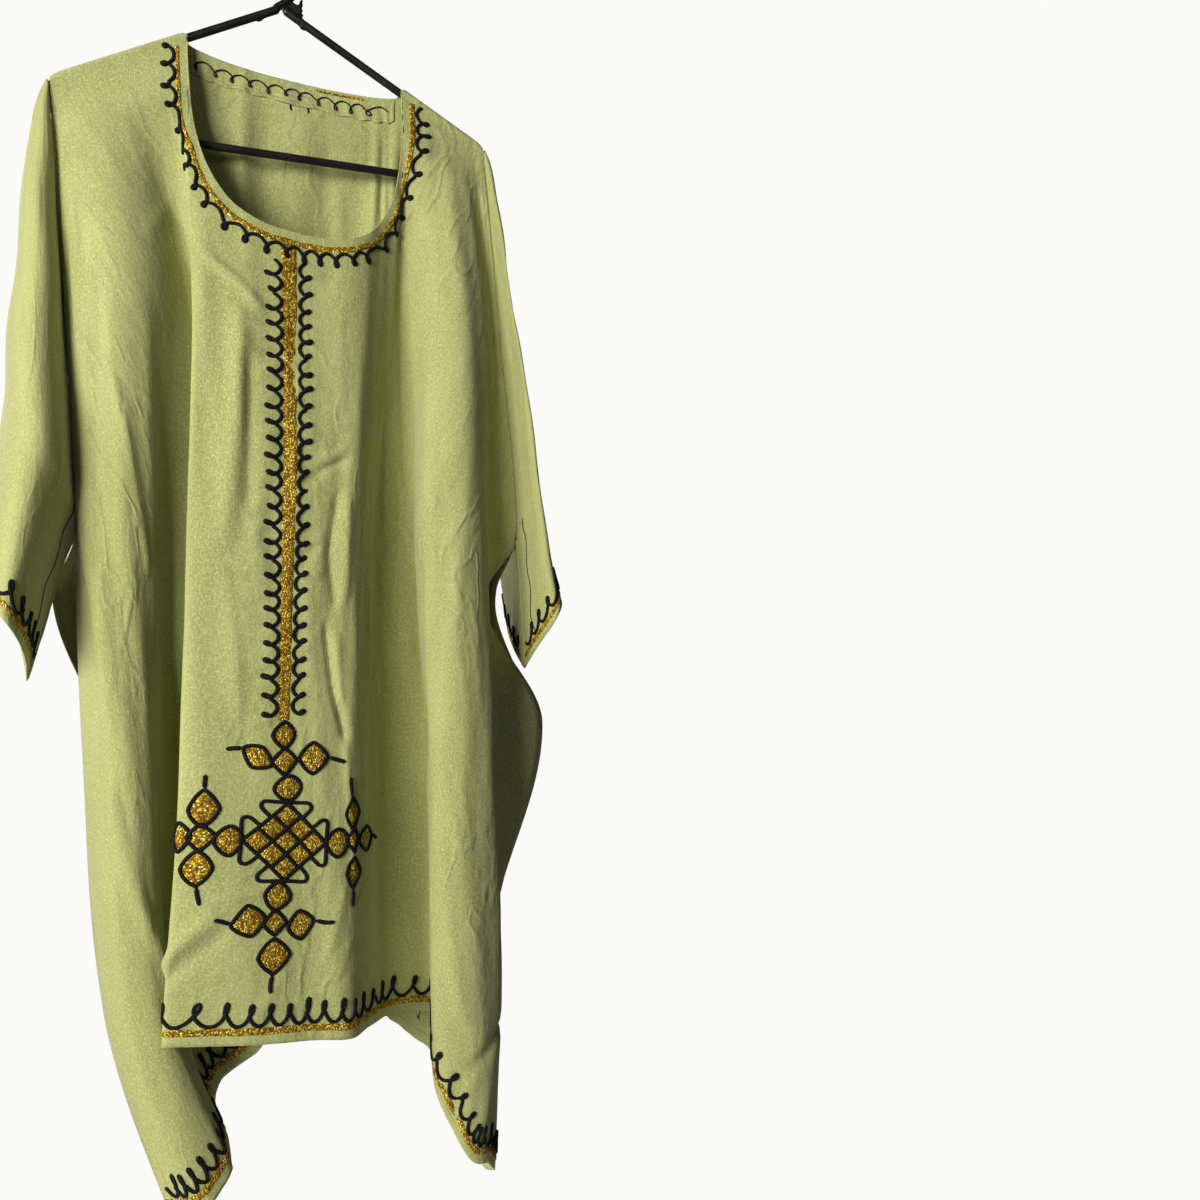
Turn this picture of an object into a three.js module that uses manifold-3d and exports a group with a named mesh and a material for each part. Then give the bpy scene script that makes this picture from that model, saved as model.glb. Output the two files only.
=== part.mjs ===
// A loose embroidered dress cut from two wide panels with sleeves cut in one, hanging open on a moulded hanger.
// Millimetres. X runs along the hanger, the front faces -Y and Z is up. The origin is the inside top of the hook.
import * as THREE from "three";
import { mergeVertices } from "three/addons/utils/BufferGeometryUtils.js";
import Module from "manifold-3d";

// Driving sizes, mm
const cloth = { wall: 1.6, gap: 0.4, halfWidth: 557, halfAtTop: 237, creaseDrop: 405 };
const hanger = {
  tube: 8, apexZ: -85, slope: 0.525, endX: 207, bendZ: -207, bendR: 23, barZ: -230, hookTube: 7, hookR: 23.5,
};
const neck = { x: 15.5, halfWidth: 103.5, corner: 6, frontDrop: 182, backDrop: 16, power: 2.9, facing: 23 };
const braid = { width: 6, thick: 1.2, fromEdge: 8, hemWidth: 7, hemFromEdge: 8.5, cuffFromEdge: 7.5 };
const placket = { topZ: -334, endZ: -775, topWidth: 16.5, endWidth: 12.5 };
const seamStrip = { width: 13, thick: 1.2 };
const sleeve = { underarm: 317, end: 480, besidePanel: 2.2, besideSwing: 5 };
const centreHalf = 95; // half the flat centre panel
const shoulderR = 6.3; // middle of the cloth as it bends over the hanger's arms
const crestRise = shoulderR * Math.hypot(1, hanger.slope);

const colours = { cloth: 0xa9b47e, gold: 0xc9961e, black: 0x15130f };
const finishes = {
  cloth: new THREE.MeshStandardMaterial({ color: colours.cloth, roughness: 0.9, metalness: 0 }),
  gold: new THREE.MeshStandardMaterial({ color: colours.gold, roughness: 0.45, metalness: 0.7 }),
  plastic: new THREE.MeshStandardMaterial({ color: colours.black, roughness: 0.4, metalness: 0 }),
};

const dress = new THREE.Group();
dress.name = "dress";
function add(name, geometry, finish) {
  const mesh = new THREE.Mesh(geometry, finishes[finish]);
  mesh.name = name;
  dress.add(mesh);
}

const mix = (a, b, t) => a + (b - a) * t;
const clamp = (v, low, high) => Math.min(high, Math.max(low, v));
const smooth = (t) => { const c = clamp(t, 0, 1); return c * c * (3 - 2 * c); };
const steps = (count, from = 0, to = 1) => Array.from({ length: count + 1 }, (_, k) => mix(from, to, k / count));

// Smooth curve through values at uneven stations. With steady set it never swings past them.
function through(stations, values, at, steady = false) {
  const last = stations.length - 1;
  const t = clamp(at, stations[0], stations[last]);
  let i = 0;
  while (i < last - 1 && t > stations[i + 1]) i += 1;
  const step = (k) => (values[k + 1] - values[k]) / (stations[k + 1] - stations[k]);
  const slope = (k) => {
    if (k === 0) return step(0);
    if (k === last) return step(last - 1);
    if (steady && step(k - 1) * step(k) <= 0) return 0;
    const before = stations[k] - stations[k - 1];
    const after = stations[k + 1] - stations[k];
    const mean = (step(k - 1) * after + step(k) * before) / (before + after);
    const most = 2 * Math.min(Math.abs(step(k - 1)), Math.abs(step(k)));
    return steady ? clamp(mean, -most, most) : mean;
  };
  const h = stations[i + 1] - stations[i];
  const f = (t - stations[i]) / h;
  const rest = 1 - f;
  return values[i] * rest * rest * (1 + 2 * f) + values[i + 1] * f * f * (3 - 2 * f)
    + h * f * rest * (slope(i) * rest - slope(i + 1) * f);
}

// Fold tables. A row is one fold line down the cloth. Columns: cloth, how far the line lies from the middle of the
// flat panel at its full width; path, its [x, y] at each level below the hook; hem, the z where it meets the hem.
const levels = [-1240, -1030, -800, -660, -600, -400, -200];
const frontFolds = [
  { cloth: -557, path: [[-100, -76], [-165, -36], [-180, -20], [-184, -14], [-184.5, -1.2], [-196, -4.5], [-207, -7]], hem: -1214 },
  { cloth: -502, path: [[-70, -92], [-146, -72], [-170, -52], [-178, -42], [-184, -34], [-190, -30], [-198, -9]], hem: -1206 },
  { cloth: -446, path: [[-36, -77], [-113, -71], [-149, -65], [-164, -58], [-170, -54], [-172, -48], [-182, -11]], hem: -1182 },
  { cloth: -395, path: [[-24, -50], [-104, -46], [-126, -57], [-142, -60], [-146, -60], [-148, -54], [-168, -12]], hem: -1160 },
  { cloth: -340, path: [[-8, -26], [-112, -20], [-118, -28], [-121, -46], [-122, -48], [-124, -46], [-152, -13]], hem: -1150 },
  { cloth: -280, path: [[-18, 1], [-82, 2], [-96, -4], [-106, -20], [-108, -22], [-104, -26], [-136, -14]], hem: -1128 },
  { cloth: -220, path: [[-14, 0], [-26, -2], [-30, -4], [-30, -6], [-32, -6], [-80, -6], [-119, -14]], hem: -1104 },
  { cloth: -155, path: [[-30, -38], [-38, -36], [-38, -34], [-36, -30], [-37, -29], [-70, -24], [-101, -13]], hem: -1080 },
  { cloth: -95, path: [[-122, -95], [-117, -89], [-103, -78], [-96, -67], [-94, -64], [-87, -52], [-84, -12]], hem: -1056 },
  { cloth: -48, path: [[-70, -99], [-66, -94], [-56, -85], [-50, -75], [-49, -72], [-45, -57], [-42, -14]], hem: -1061 },
  { cloth: 0, path: [[-24, -97], [-21, -92], [-13, -83], [-8, -73], [-6, -70], [-1, -53], [2, -14]], hem: -1066 },
  { cloth: 48, path: [[17, -93], [16, -88], [24, -79], [27, -70], [29, -67], [36, -52], [44, -14]], hem: -1070 },
  { cloth: 95, path: [[56, -88], [51, -84], [54, -73], [57, -64], [60, -61], [70, -47], [84, -12]], hem: -1074 },
  { cloth: 132, path: [[80, -62], [74, -57], [73, -49], [74, -42], [75, -40], [89, -32], [98, -13]], hem: -1075 },
  { cloth: 178, path: [[104, -32], [98, -28], [93, -23], [92, -17], [92, -14], [106, -13], [112, -14]], hem: -1077 },
  { cloth: 238, path: [[158, -6], [154, -5], [150, -4], [141, -4], [138, -4], [124, -6], [130, -14]], hem: -1092 },
  { cloth: 284, path: [[148, -36], [142, -36], [140, -33], [129, -30], [127, -28], [136, -24], [145, -14]], hem: -1112 },
  { cloth: 321, path: [[136, -66], [133, -66], [134, -58], [130, -54], [131, -52], [148, -42], [156, -13]], hem: -1139 },
  { cloth: 372, path: [[162, -84], [165, -83], [160, -75], [161, -67], [164, -64], [174, -48], [170, -12]], hem: -1206 },
  { cloth: 428, path: [[187, -77], [202, -66], [198, -60], [196, -50], [198, -44], [199, -32], [184, -11]], hem: -1222 },
  { cloth: 474, path: [[199, -59], [211, -42], [204, -42], [204, -24], [206, -16], [207, -12], [192, -9]], hem: -1238 },
  { cloth: 511, path: [[199, -45], [213, -24], [222, -10], [206, -6], [222, -9], [215, -9], [199, -8]], hem: -1243 },
  { cloth: 557, path: [[198, -29], [212, -8], [285, 20], [211, 5], [245, -1.2], [226, -4.5], [207, -7]], hem: -1246 },
];
const backFolds = [
  { cloth: -557, path: [[-96, 30], [-128, 24], [-156, 52], [-204, 64], [-184.5, 1.2], [-196, 4.5], [-207, 7]], hem: -1180 },
  { cloth: -483, path: [[-108, 56], [-138, 54], [-156, 72], [-171, 80], [-175, 44], [-190, 34], [-198, 10]], hem: -1174 },
  { cloth: -400, path: [[-112, 98], [-140, 100], [-150, 98], [-160, 90], [-166, 76], [-174, 58], [-178, 13]], hem: -1158 },
  { cloth: -317, path: [[-100, 112], [-120, 114], [-126, 104], [-134, 86], [-138, 82], [-146, 62], [-158, 15]], hem: -1136 },
  { cloth: -243, path: [[-88, 70], [-98, 70], [-104, 62], [-110, 54], [-112, 52], [-120, 40], [-136, 16]], hem: -1116 },
  { cloth: -169, path: [[-74, 14], [-80, 14], [-84, 14], [-90, 16], [-92, 18], [-98, 20], [-112, 15]], hem: -1100 },
  { cloth: -95, path: [[-58, 72], [-60, 70], [-64, 64], [-66, 58], [-66, 55], [-72, 40], [-84, 14]], hem: -1092 },
  { cloth: -48, path: [[-26, 112], [-28, 110], [-32, 100], [-32, 78], [-32, 74], [-34, 54], [-42, 14]], hem: -1088 },
  { cloth: 0, path: [[6, 84], [6, 82], [4, 74], [4, 66], [4, 62], [4, 48], [2, 14]], hem: -1086 },
  { cloth: 48, path: [[42, 110], [42, 108], [40, 98], [40, 76], [40, 72], [42, 54], [44, 14]], hem: -1088 },
  { cloth: 95, path: [[76, 72], [76, 70], [74, 62], [76, 56], [76, 54], [80, 42], [84, 14]], hem: -1090 },
  { cloth: 169, path: [[94, 14], [96, 14], [98, 14], [100, 16], [100, 18], [102, 20], [110, 15]], hem: -1092 },
  { cloth: 243, path: [[110, 72], [114, 72], [118, 64], [122, 56], [122, 54], [124, 42], [134, 16]], hem: -1102 },
  { cloth: 317, path: [[130, 112], [140, 114], [146, 106], [152, 86], [152, 82], [152, 60], [154, 15]], hem: -1128 },
  { cloth: 400, path: [[164, 94], [180, 96], [186, 88], [190, 80], [188, 78], [184, 56], [174, 13]], hem: -1156 },
  { cloth: 483, path: [[184, 60], [208, 66], [236, 78], [226, 60], [222, 44], [212, 30], [192, 10]], hem: -1176 },
  { cloth: 557, path: [[180, 30], [214, 40], [286, 58], [238, 42], [245, 1.2], [226, 4.5], [207, 7]], hem: -1184 },
];
// Sleeve sections. along: cloth from the hanger's end down the top fold. foldZ, seamZ: heights of the top fold and of
// the underarm line. fold, seam: their distance from the middle, front, back: half depths, each [left, right].
const sleeveSections = [
  { along: 3, foldZ: -192.5, seamZ: -198, fold: [209.8, 209.8], seam: [208, 209], front: [3, 3], back: [3, 3] },
  { along: 14, foldZ: -203, seamZ: -210, fold: [214.5, 214.5], seam: [208, 210], front: [6, 6], back: [6, 6] },
  { along: 60, foldZ: -247, seamZ: -270, fold: [223.5, 222], seam: [204, 216], front: [16, 14], back: [16, 16] },
  { along: 140, foldZ: -327, seamZ: -372, fold: [232, 230], seam: [199, 224], front: [36, 27], back: [36, 34] },
  { along: 220, foldZ: -406, seamZ: -474, fold: [240, 239], seam: [194, 233], front: [56, 38], back: [56, 52] },
  { along: 317, foldZ: -501, seamZ: -600, fold: [246, 253], seam: [187, 246], front: [80, 47], back: [80, 72] },
  { along: 360, foldZ: -543, seamZ: -634, fold: [250, 259], seam: [197, 249], front: [88, 50], back: [88, 79] },
  { along: 420, foldZ: -602, seamZ: -686, fold: [256, 269], seam: [211, 252], front: [95, 55], back: [95, 84] },
  { along: 480, foldZ: -660, seamZ: -738, fold: [263, 285], seam: [226, 256], front: [98, 60], back: [98, 87] },
];

const tables = { front: frontFolds, back: backFolds };
for (const rows of Object.values(tables)) {
  rows.stations = rows.map((row) => row.cloth);
  rows.hems = rows.map((row) => row.hem);
  rows.byLevel = levels.map((_, k) => [0, 1].map((axis) => rows.map((row) => row.path[k][axis])));
}
const hemZ = (side, station) => through(tables[side].stations, tables[side].hems, station);
function foldAt(side, axis, station, z) {
  const rows = tables[side];
  return through(levels, rows.byLevel.map((level) => through(rows.stations, level[axis], station)), z, true);
}
// The line along the top of the cloth over the hanger's arms
const armEnd = { from: 198, over: 12, drop: 4 };
const crestZ = (x) => hanger.apexZ + crestRise - hanger.slope * Math.abs(x)
  - armEnd.drop * Math.max(0, (Math.abs(x) - armEnd.from) / armEnd.over) ** 2;

// The middle of the cloth for a thread at a height, wrapped over the hanger's arms at the shoulder
const easing = 60; // height over which the cloth leaves the arms
function clothPoint(side, station, z) {
  const x = foldAt(side, 0, station, z);
  const y = foldAt(side, 1, station, z);
  const facing = side === "front" ? -1 : 1;
  const below = Math.max(0, crestZ(x) - z);
  const round = Math.sqrt(Math.max(0, below * (2 * shoulderR - below)));
  const free = mix(shoulderR, Math.max(shoulderR, y * facing), smooth((below - shoulderR) / easing));
  const wrapped = facing * (below < shoulderR ? round : free);
  return new THREE.Vector3(x, mix(wrapped, y, smooth((below - 40) / easing)), z);
}
function stationAtX(side, x, z, low = -300, high = 300) {
  let [a, b] = [low, high];
  for (let k = 0; k < 30; k += 1) {
    const middle = (a + b) / 2;
    if (foldAt(side, 0, middle, z) < x) a = middle; else b = middle;
  }
  return (a + b) / 2;
}

// Depths below the crest at which the cloth has its lines as it bends over the arms
const bendDrops = [0.03, 0.8, 2.6, shoulderR];

// The neckline: turn runs from 0 at the right shoulder to half a circle at the left; out is the distance beside it
function neckline(side, turn, out = 0) {
  const power = 2 / neck.power;
  const sideways = Math.sign(Math.cos(turn)) * Math.abs(Math.cos(turn)) ** power;
  const down = Math.abs(Math.sin(turn)) ** power;
  const drop = (side === "front" ? neck.frontDrop : neck.backDrop) - shoulderR + out * 0.9;
  const x = neck.x + (neck.halfWidth + out) * sideways;
  const [left, right] = [-1, 1].map((hand) => crestZ(neck.x + hand * (neck.halfWidth + out)));
  return { x, z: mix(left, right, (sideways + 1) / 2) - shoulderR - drop * down };
}

// Top ends of a panel's threads from the middle out to one hand: neckline, its corner on the arm, the arm, the arm's
// end, and the crease down to the underarm
function topEnds(side, hand, count) {
  const neckEnds = steps(count.neck, 0, 1).map((t) => {
    const { x, z } = neckline(side, Math.PI / 2 - hand * (Math.PI / 2) * t ** 0.8);
    return { station: stationAtX(side, x, z), z };
  });
  const edgeX = neck.x + hand * neck.halfWidth;
  const cornerEnds = [0.5, 1].map((t) => {
    const x = edgeX + hand * neck.corner * t;
    return { station: stationAtX(side, x, crestZ(x)), z: crestZ(x) - (t === 1 ? bendDrops[0] : bendDrops[2]) };
  });
  const edge = hand * cloth.halfWidth;
  const crestEnd = (station) => ({ station, z: crestZ(foldAt(side, 0, station, levels.at(-1))) - bendDrops[0] });
  const armEnds = steps(count.arm, cornerEnds[1].station, edge).slice(1).map(crestEnd);
  const endZ = armEnds.at(-1).z;
  const turned = bendDrops.slice(2).map((drop) => ({ station: edge, z: endZ - drop }));
  const crease = steps(count.crease, endZ - shoulderR, endZ - cloth.creaseDrop).slice(1)
    .map((z) => ({ station: edge, z, crease: true }));
  return [...neckEnds, ...cornerEnds, ...armEnds, ...turned, ...crease];
}
// Middle points of a panel, row by row from the top edge to the hem
function panelGrid(side, count) {
  const [left, right] = [-1, 1].map((hand) => topEnds(side, hand, count));
  const spread = (ends, hand) => ends.map((end, k) => ({ ...end, full: (hand * cloth.halfWidth * k) / (ends.length - 1) }));
  const threads = [...spread(left, -1).reverse(), ...spread(right, 1).slice(1)];
  if (side === "back") threads.reverse();
  const braidRows = [braid.hemFromEdge + braid.hemWidth, braid.hemFromEdge, 0];
  const rowCount = bendDrops.length + count.rows + braidRows.length - 1;
  return Array.from({ length: rowCount }, (_, i) => threads.map((thread) => {
    const hem = hemZ(side, thread.full);
    const start = thread.z - bendDrops.at(-1) + bendDrops[0];
    const body = i - bendDrops.length + 1;
    let z = mix(start, hem + braidRows[0], (body / count.rows) ** 1.25);
    if (body < 1) z = thread.z - bendDrops[i] + bendDrops[0];
    if (body > count.rows) z = hem + braidRows[body - count.rows];
    const t = (thread.z - z) / (thread.z - hem);
    return clothPoint(side, mix(thread.station, thread.full, thread.crease ? 1 - (1 - t) ** 3 : smooth(t * 1.3)), z);
  }));
}

// The two faces of each of a grid's squares, parted along the shorter diagonal
function facesOf(grid) {
  const faces = [];
  for (let i = 0; i < grid.length - 1; i += 1) {
    for (let j = 0; j < grid[0].length - 1; j += 1) {
      const [a, b, c, d] = [[i, j], [i + 1, j], [i + 1, j + 1], [i, j + 1]];
      const length = ([p, q], [r, t]) => grid[p][q].distanceTo(grid[r][t]);
      if (length(a, c) <= length(b, d)) faces.push([a, b, c], [a, c, d]);
      else faces.push([a, b, d], [b, c, d]);
    }
  }
  return faces;
}
// Outward directions at a grid's points, from the faces round each
function outward(grid) {
  const sums = grid.map((row) => row.map(() => new THREE.Vector3()));
  for (const corners of facesOf(grid)) {
    const [a, b, c] = corners.map(([i, j]) => grid[i][j]);
    const normal = new THREE.Vector3().crossVectors(b.clone().sub(a), c.clone().sub(a));
    corners.forEach(([i, j]) => sums[i][j].add(normal));
  }
  return sums.map((row) => row.map((sum) => sum.normalize()));
}
// A wall of even thickness round a grid of middle points, closed at its four edges
function wall(grid, thick, lift = 0, directions = outward(grid), faces = facesOf(grid)) {
  const rows = grid.length;
  const columns = grid[0].length;
  const positions = [];
  const index = [];
  for (const level of [lift + thick / 2, lift - thick / 2]) {
    grid.forEach((row, i) => row.forEach((point, j) => {
      positions.push(...point.clone().addScaledVector(directions[i][j], level).toArray());
    }));
  }
  const at = (face, [i, j]) => face * rows * columns + i * columns + j;
  for (const [a, b, c] of faces) {
    index.push(at(0, a), at(0, b), at(0, c));
    index.push(at(1, c), at(1, b), at(1, a));
  }
  const rim = (a, b) => index.push(at(0, b), at(0, a), at(1, a), at(0, b), at(1, a), at(1, b));
  for (let i = 0; i < rows - 1; i += 1) {
    rim([i, 0], [i + 1, 0]);
    rim([i + 1, columns - 1], [i, columns - 1]);
  }
  for (let j = 0; j < columns - 1; j += 1) {
    rim([0, j + 1], [0, j]);
    rim([rows - 1, j], [rows - 1, j + 1]);
  }
  const geometry = new THREE.BufferGeometry();
  geometry.setAttribute("position", new THREE.Float32BufferAttribute(positions, 3));
  geometry.setIndex(index);
  geometry.computeVertexNormals();
  return geometry;
}
// The part of a wall's grid from one row to another, lifted off the wall
function strip(grid, from, to, thick, lift, spare = 0) {
  const directions = outward(grid);
  const cut = (rows) => rows.slice(from, to + 1).map((row) => row.slice(spare, row.length - spare));
  return wall(cut(grid), thick, lift, cut(directions));
}
const overCloth = cloth.wall / 2 + cloth.gap + braid.thick / 2;

const panels = {
  front: panelGrid("front", { neck: 12, arm: 5, crease: 6, rows: 15 }),
  back: panelGrid("back", { neck: 9, arm: 4, crease: 5, rows: 13 }),
};
// Each panel is one width of cloth, parted by a hair along the deepest fold on either side of its middle. cuts: where
const cuts = { front: { left: -300, right: 175 }, back: { left: -132, right: 132 } };
function partPanel(side) {
  const grid = panels[side];
  const directions = outward(grid);
  const last = grid[0].length - 1;
  const hand = side === "front" ? 1 : -1;
  const column = (station) => Math.round(((hand * station) / cloth.halfWidth + 1) * 0.5 * last);
  const [left, right] = [column(cuts[side].left), column(cuts[side].right)];
  const spans = { left: [0, left], centre: [left, right], right: [right, last] };
  if (side === "back") Object.assign(spans, { left: [left, last], centre: [right, left], right: [0, right] });
  for (const [name, [from, to]] of Object.entries(spans)) {
    const cut = (rows) => rows.map((row) => row.slice(from, to + 1));
    const drawnIn = cut(grid).map((row) => row.map((point, j) => {
      const inner = j === 0 && from > 0 ? row[1] : j === row.length - 1 && to < last ? row[j - 1] : point;
      const away = inner.clone().sub(point).normalize();
      return point.clone().addScaledVector(away, cloth.gap / 2);
    }));
    const geometry = wall(drawnIn, cloth.wall, 0, cut(directions), facesOf(cut(grid)));
    add(`${side}_panel_${name}`, geometry, "cloth");
  }
}
for (const [side, grid] of Object.entries(panels)) {
  partPanel(side);
  add(`hem_braid_${side}`, strip(grid, grid.length - 3, grid.length - 2, braid.thick, overCloth), "gold");
}

// The place on a panel's faces behind a point given by x and z, the one nearest the side's own face
function onPanel(side, x, z) {
  const grid = panels[side];
  const facing = side === "front" ? -1 : 1;
  let best = null;
  const tryFace = (a, b, c) => {
    const area = (b.x - a.x) * (c.z - a.z) - (c.x - a.x) * (b.z - a.z);
    if (Math.abs(area) < 1e-9) return;
    const s = ((x - a.x) * (c.z - a.z) - (c.x - a.x) * (z - a.z)) / area;
    const t = ((b.x - a.x) * (z - a.z) - (x - a.x) * (b.z - a.z)) / area;
    if (s < -1e-6 || t < -1e-6 || s + t > 1 + 1e-6) return;
    const y = a.y + (b.y - a.y) * s + (c.y - a.y) * t;
    if (best === null || y * facing > best * facing) best = y;
  };
  for (const corners of facesOf(grid)) tryFace(...corners.map(([i, j]) => grid[i][j]));
  if (best === null) throw new Error(`no ${side} cloth at ${x.toFixed(1)}, ${z.toFixed(1)}`);
  return new THREE.Vector3(x, best, z);
}

// Gold braid beside the neckline; the back one is short of the shoulders, where the cloth bends
function neckBraid(side, turns) {
  const reach = side === "front" ? turns : turns.reverse();
  return [0, 1].map((k) => reach.map((turn) => {
    const { x, z } = neckline(side, turn, braid.fromEdge + braid.width * (k - 0.5));
    return onPanel(side, x, z);
  }));
}
const clearOfPanel = overCloth + 0.5;
add("neck_braid_front", wall(neckBraid("front", steps(64, Math.PI - 0.01, 0.01)), braid.thick, clearOfPanel), "gold");
add("neck_braid_back", wall(neckBraid("back", steps(24, Math.PI - 0.1, 0.1)), braid.thick, clearOfPanel), "gold");

// the inside facing of the back neck
const facingRows = [2, neck.facing / 2, neck.facing].map((down) => steps(20, 0.35, Math.PI - 0.35).map((turn) => {
  const { x, z } = neckline("back", turn);
  return onPanel("back", x, z - down);
}));
add("neck_facing", wall(facingRows, 1, -(clearOfPanel - 0.1)), "cloth");

// the gold band down the middle of the front, tapering towards the medallion
const band = steps(24).map((t) => {
  const z = mix(placket.topZ, placket.endZ, t);
  const middle = foldAt("front", 0, 0, z);
  return steps(2, -1, 1).map((k) => onPanel("front", middle + (k * mix(placket.topWidth, placket.endWidth, t)) / 2, z));
});
add("front_band", wall(band, braid.thick, clearOfPanel), "gold");

// Sleeves: hollow cones from the hanger's end. place runs from -1, the front edge, over 0, the top fold, to 1, the back
const sleeveAlong = sleeveSections.map((row) => row.along);
const sleeveRead = (pick, along) => through(sleeveAlong, sleeveSections.map(pick), along, true);
function sleevePoint(hand, place, along) {
  const own = hand < 0 ? 0 : 1;
  const side = place < 0 ? "front" : "back";
  const turn = Math.PI * Math.abs(place);
  const inward = (1 - Math.cos(turn)) / 2;
  const foldZ = sleeveRead((row) => row.foldZ, along);
  const seamZ = sleeveRead((row) => row.seamZ, along);
  const foldX = sleeveRead((row) => row.fold[own], along);
  const panelEdge = clothPoint(side, hand * cloth.halfWidth, Math.max(seamZ, levels[4]));
  const parted = clamp((sleeve.underarm + 20 - along) / 20, 0, 1);
  const swinging = hand < 0 && side === "back"; // there the back panel's edge swings out below the underarm
  const clear = mix(sleeve.besidePanel, swinging ? sleeve.besideSwing : sleeve.besidePanel, smooth(along / sleeve.underarm));
  const seamX = mix(sleeveRead((row) => row.seam[own], along), Math.abs(panelEdge.x) + clear, parted);
  const seamY = mix(cloth.gap / 2 + 0.1, Math.abs(panelEdge.y), parted);
  const depth = sleeveRead((row) => row[side][own], along) * Math.sin(turn) + seamY * inward;
  return new THREE.Vector3(hand * mix(foldX, seamX, inward), (place < 0 ? -1 : 1) * depth, mix(foldZ, seamZ, place * place));
}
const seamLift = -(cloth.wall / 2 + 1.4 * cloth.gap + seamStrip.thick / 2);
for (const [name, hand] of [["left", -1], ["right", 1]]) {
  const places = hand < 0 ? steps(16, -1, 1) : steps(16, 1, -1);
  const cuffEnd = sleeve.end - braid.cuffFromEdge;
  const alongs = [3, 14, 40, 80, 140, 205, 262, 317, 345, 390, 430, cuffEnd - braid.hemWidth, cuffEnd, sleeve.end];
  const grid = alongs.map((along) => places.map((place) => sleevePoint(hand, place, along)));
  add(`sleeve_${name}`, wall(grid, cloth.wall), "cloth");
  add(`cuff_braid_${name}`, strip(grid, grid.length - 3, grid.length - 2, braid.thick, overCloth), "gold");
  // the flat seam allowance under the sleeve, inside, over the slit where its halves meet
  const beside = (edge, next, y) => edge.clone().lerp(next, (y - Math.abs(edge.y)) / (Math.abs(next.y) - Math.abs(edge.y)));
  const allowance = grid.slice(-6, -2).map((row) => [
    ...[1, 0.4].map((k) => beside(row.at(-1), row.at(-2), (k * seamStrip.width) / 2)),
    ...[0.4, 1].map((k) => beside(row[0], row[1], (k * seamStrip.width) / 2)),
  ]);
  add(`underarm_seam_${name}`, wall(allowance, seamStrip.thick, seamLift), "cloth");
}

// Hanger, moulded in one: two round arms that turn under at the ends, the bar, the hook and the web beside its stem
const wasm = await Module();
wasm.setup();
function tube(points, diameter, segments, sides = 10) {
  const path = new THREE.CatmullRomCurve3(points.map(([x, z]) => new THREE.Vector3(x, 0, z)), false, "centripetal");
  const ring = steps(sides - 1, 0, 2 * Math.PI * (1 - 1 / sides)).map((a) =>
    new THREE.Vector2(Math.cos(a), Math.sin(a)).multiplyScalar(diameter / 2));
  return new THREE.ExtrudeGeometry(new THREE.Shape(ring), { steps: segments, extrudePath: path, bevelEnabled: false });
}
function solidOf(geometry) {
  const bare = new THREE.BufferGeometry().setAttribute("position", geometry.getAttribute("position"));
  const merged = mergeVertices(geometry.index ? bare.setIndex(geometry.index) : bare, 1e-4);
  const triVerts = new Uint32Array(merged.index.array);
  return new wasm.Manifold(new wasm.Mesh({ numProp: 3, vertProperties: merged.attributes.position.array, triVerts }));
}
function geometryOf(solid) {
  const mesh = solid.getMesh();
  const positions = new THREE.Float32BufferAttribute(mesh.vertProperties, mesh.numProp);
  const geometry = new THREE.BufferGeometry().setAttribute("position", positions);
  geometry.setIndex(Array.from(mesh.triVerts));
  geometry.computeVertexNormals();
  return geometry;
}
const armAt = (x) => hanger.apexZ - hanger.slope * x;
const polar = (centreX, centreZ, radius, degrees) => [
  centreX + radius * Math.cos(THREE.MathUtils.degToRad(degrees)),
  centreZ + radius * Math.sin(THREE.MathUtils.degToRad(degrees)),
];
const bendCentreX = hanger.endX - hanger.bendR;
const bend = (degrees) => polar(bendCentreX, hanger.bendZ, hanger.bendR, degrees);
const armPath = [[-1, armAt(1)], [60, armAt(60)], [120, armAt(120)], [170, armAt(170)], bend(48), bend(22), bend(-8),
  bend(-38), bend(-66), [bendCentreX + 0.5, hanger.barZ], [bendCentreX - 6, hanger.barZ]];
const mirrored = (path) => path.map(([x, z]) => [-x, z]);
const barEnd = bendCentreX - 5;
const hookCentreZ = -(hanger.hookR - hanger.hookTube / 2);
const hookAt = (degrees) => polar(0, hookCentreZ, hanger.hookR, degrees);
const hookPath = [[-7.5, -86], [4, -77], [15, -66], [21, -50], hookAt(-25), hookAt(10), hookAt(45), hookAt(80),
  hookAt(115), hookAt(150), hookAt(185), hookAt(203)];
const webShape = new THREE.Shape([[2, -84], [24, -97], [24, -93], [19, -66], [13, -68], [4, -77]].map(([x, z]) =>
  new THREE.Vector2(x, z)));
const webThick = 3;
const web = new THREE.ExtrudeGeometry(webShape, { depth: webThick, bevelEnabled: false });
web.rotateX(Math.PI / 2);
web.translate(0, webThick / 2, 0);
const mouldings = [
  tube(armPath, hanger.tube, 22),
  tube(mirrored(armPath), hanger.tube, 22),
  tube([[-barEnd, hanger.barZ], [0, hanger.barZ], [barEnd, hanger.barZ]], hanger.tube, 4),
  tube(hookPath, hanger.hookTube, 30),
  web,
];
add("hanger", geometryOf(wasm.Manifold.union(mouldings.map(solidOf))), "plastic");

export default dress;
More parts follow.
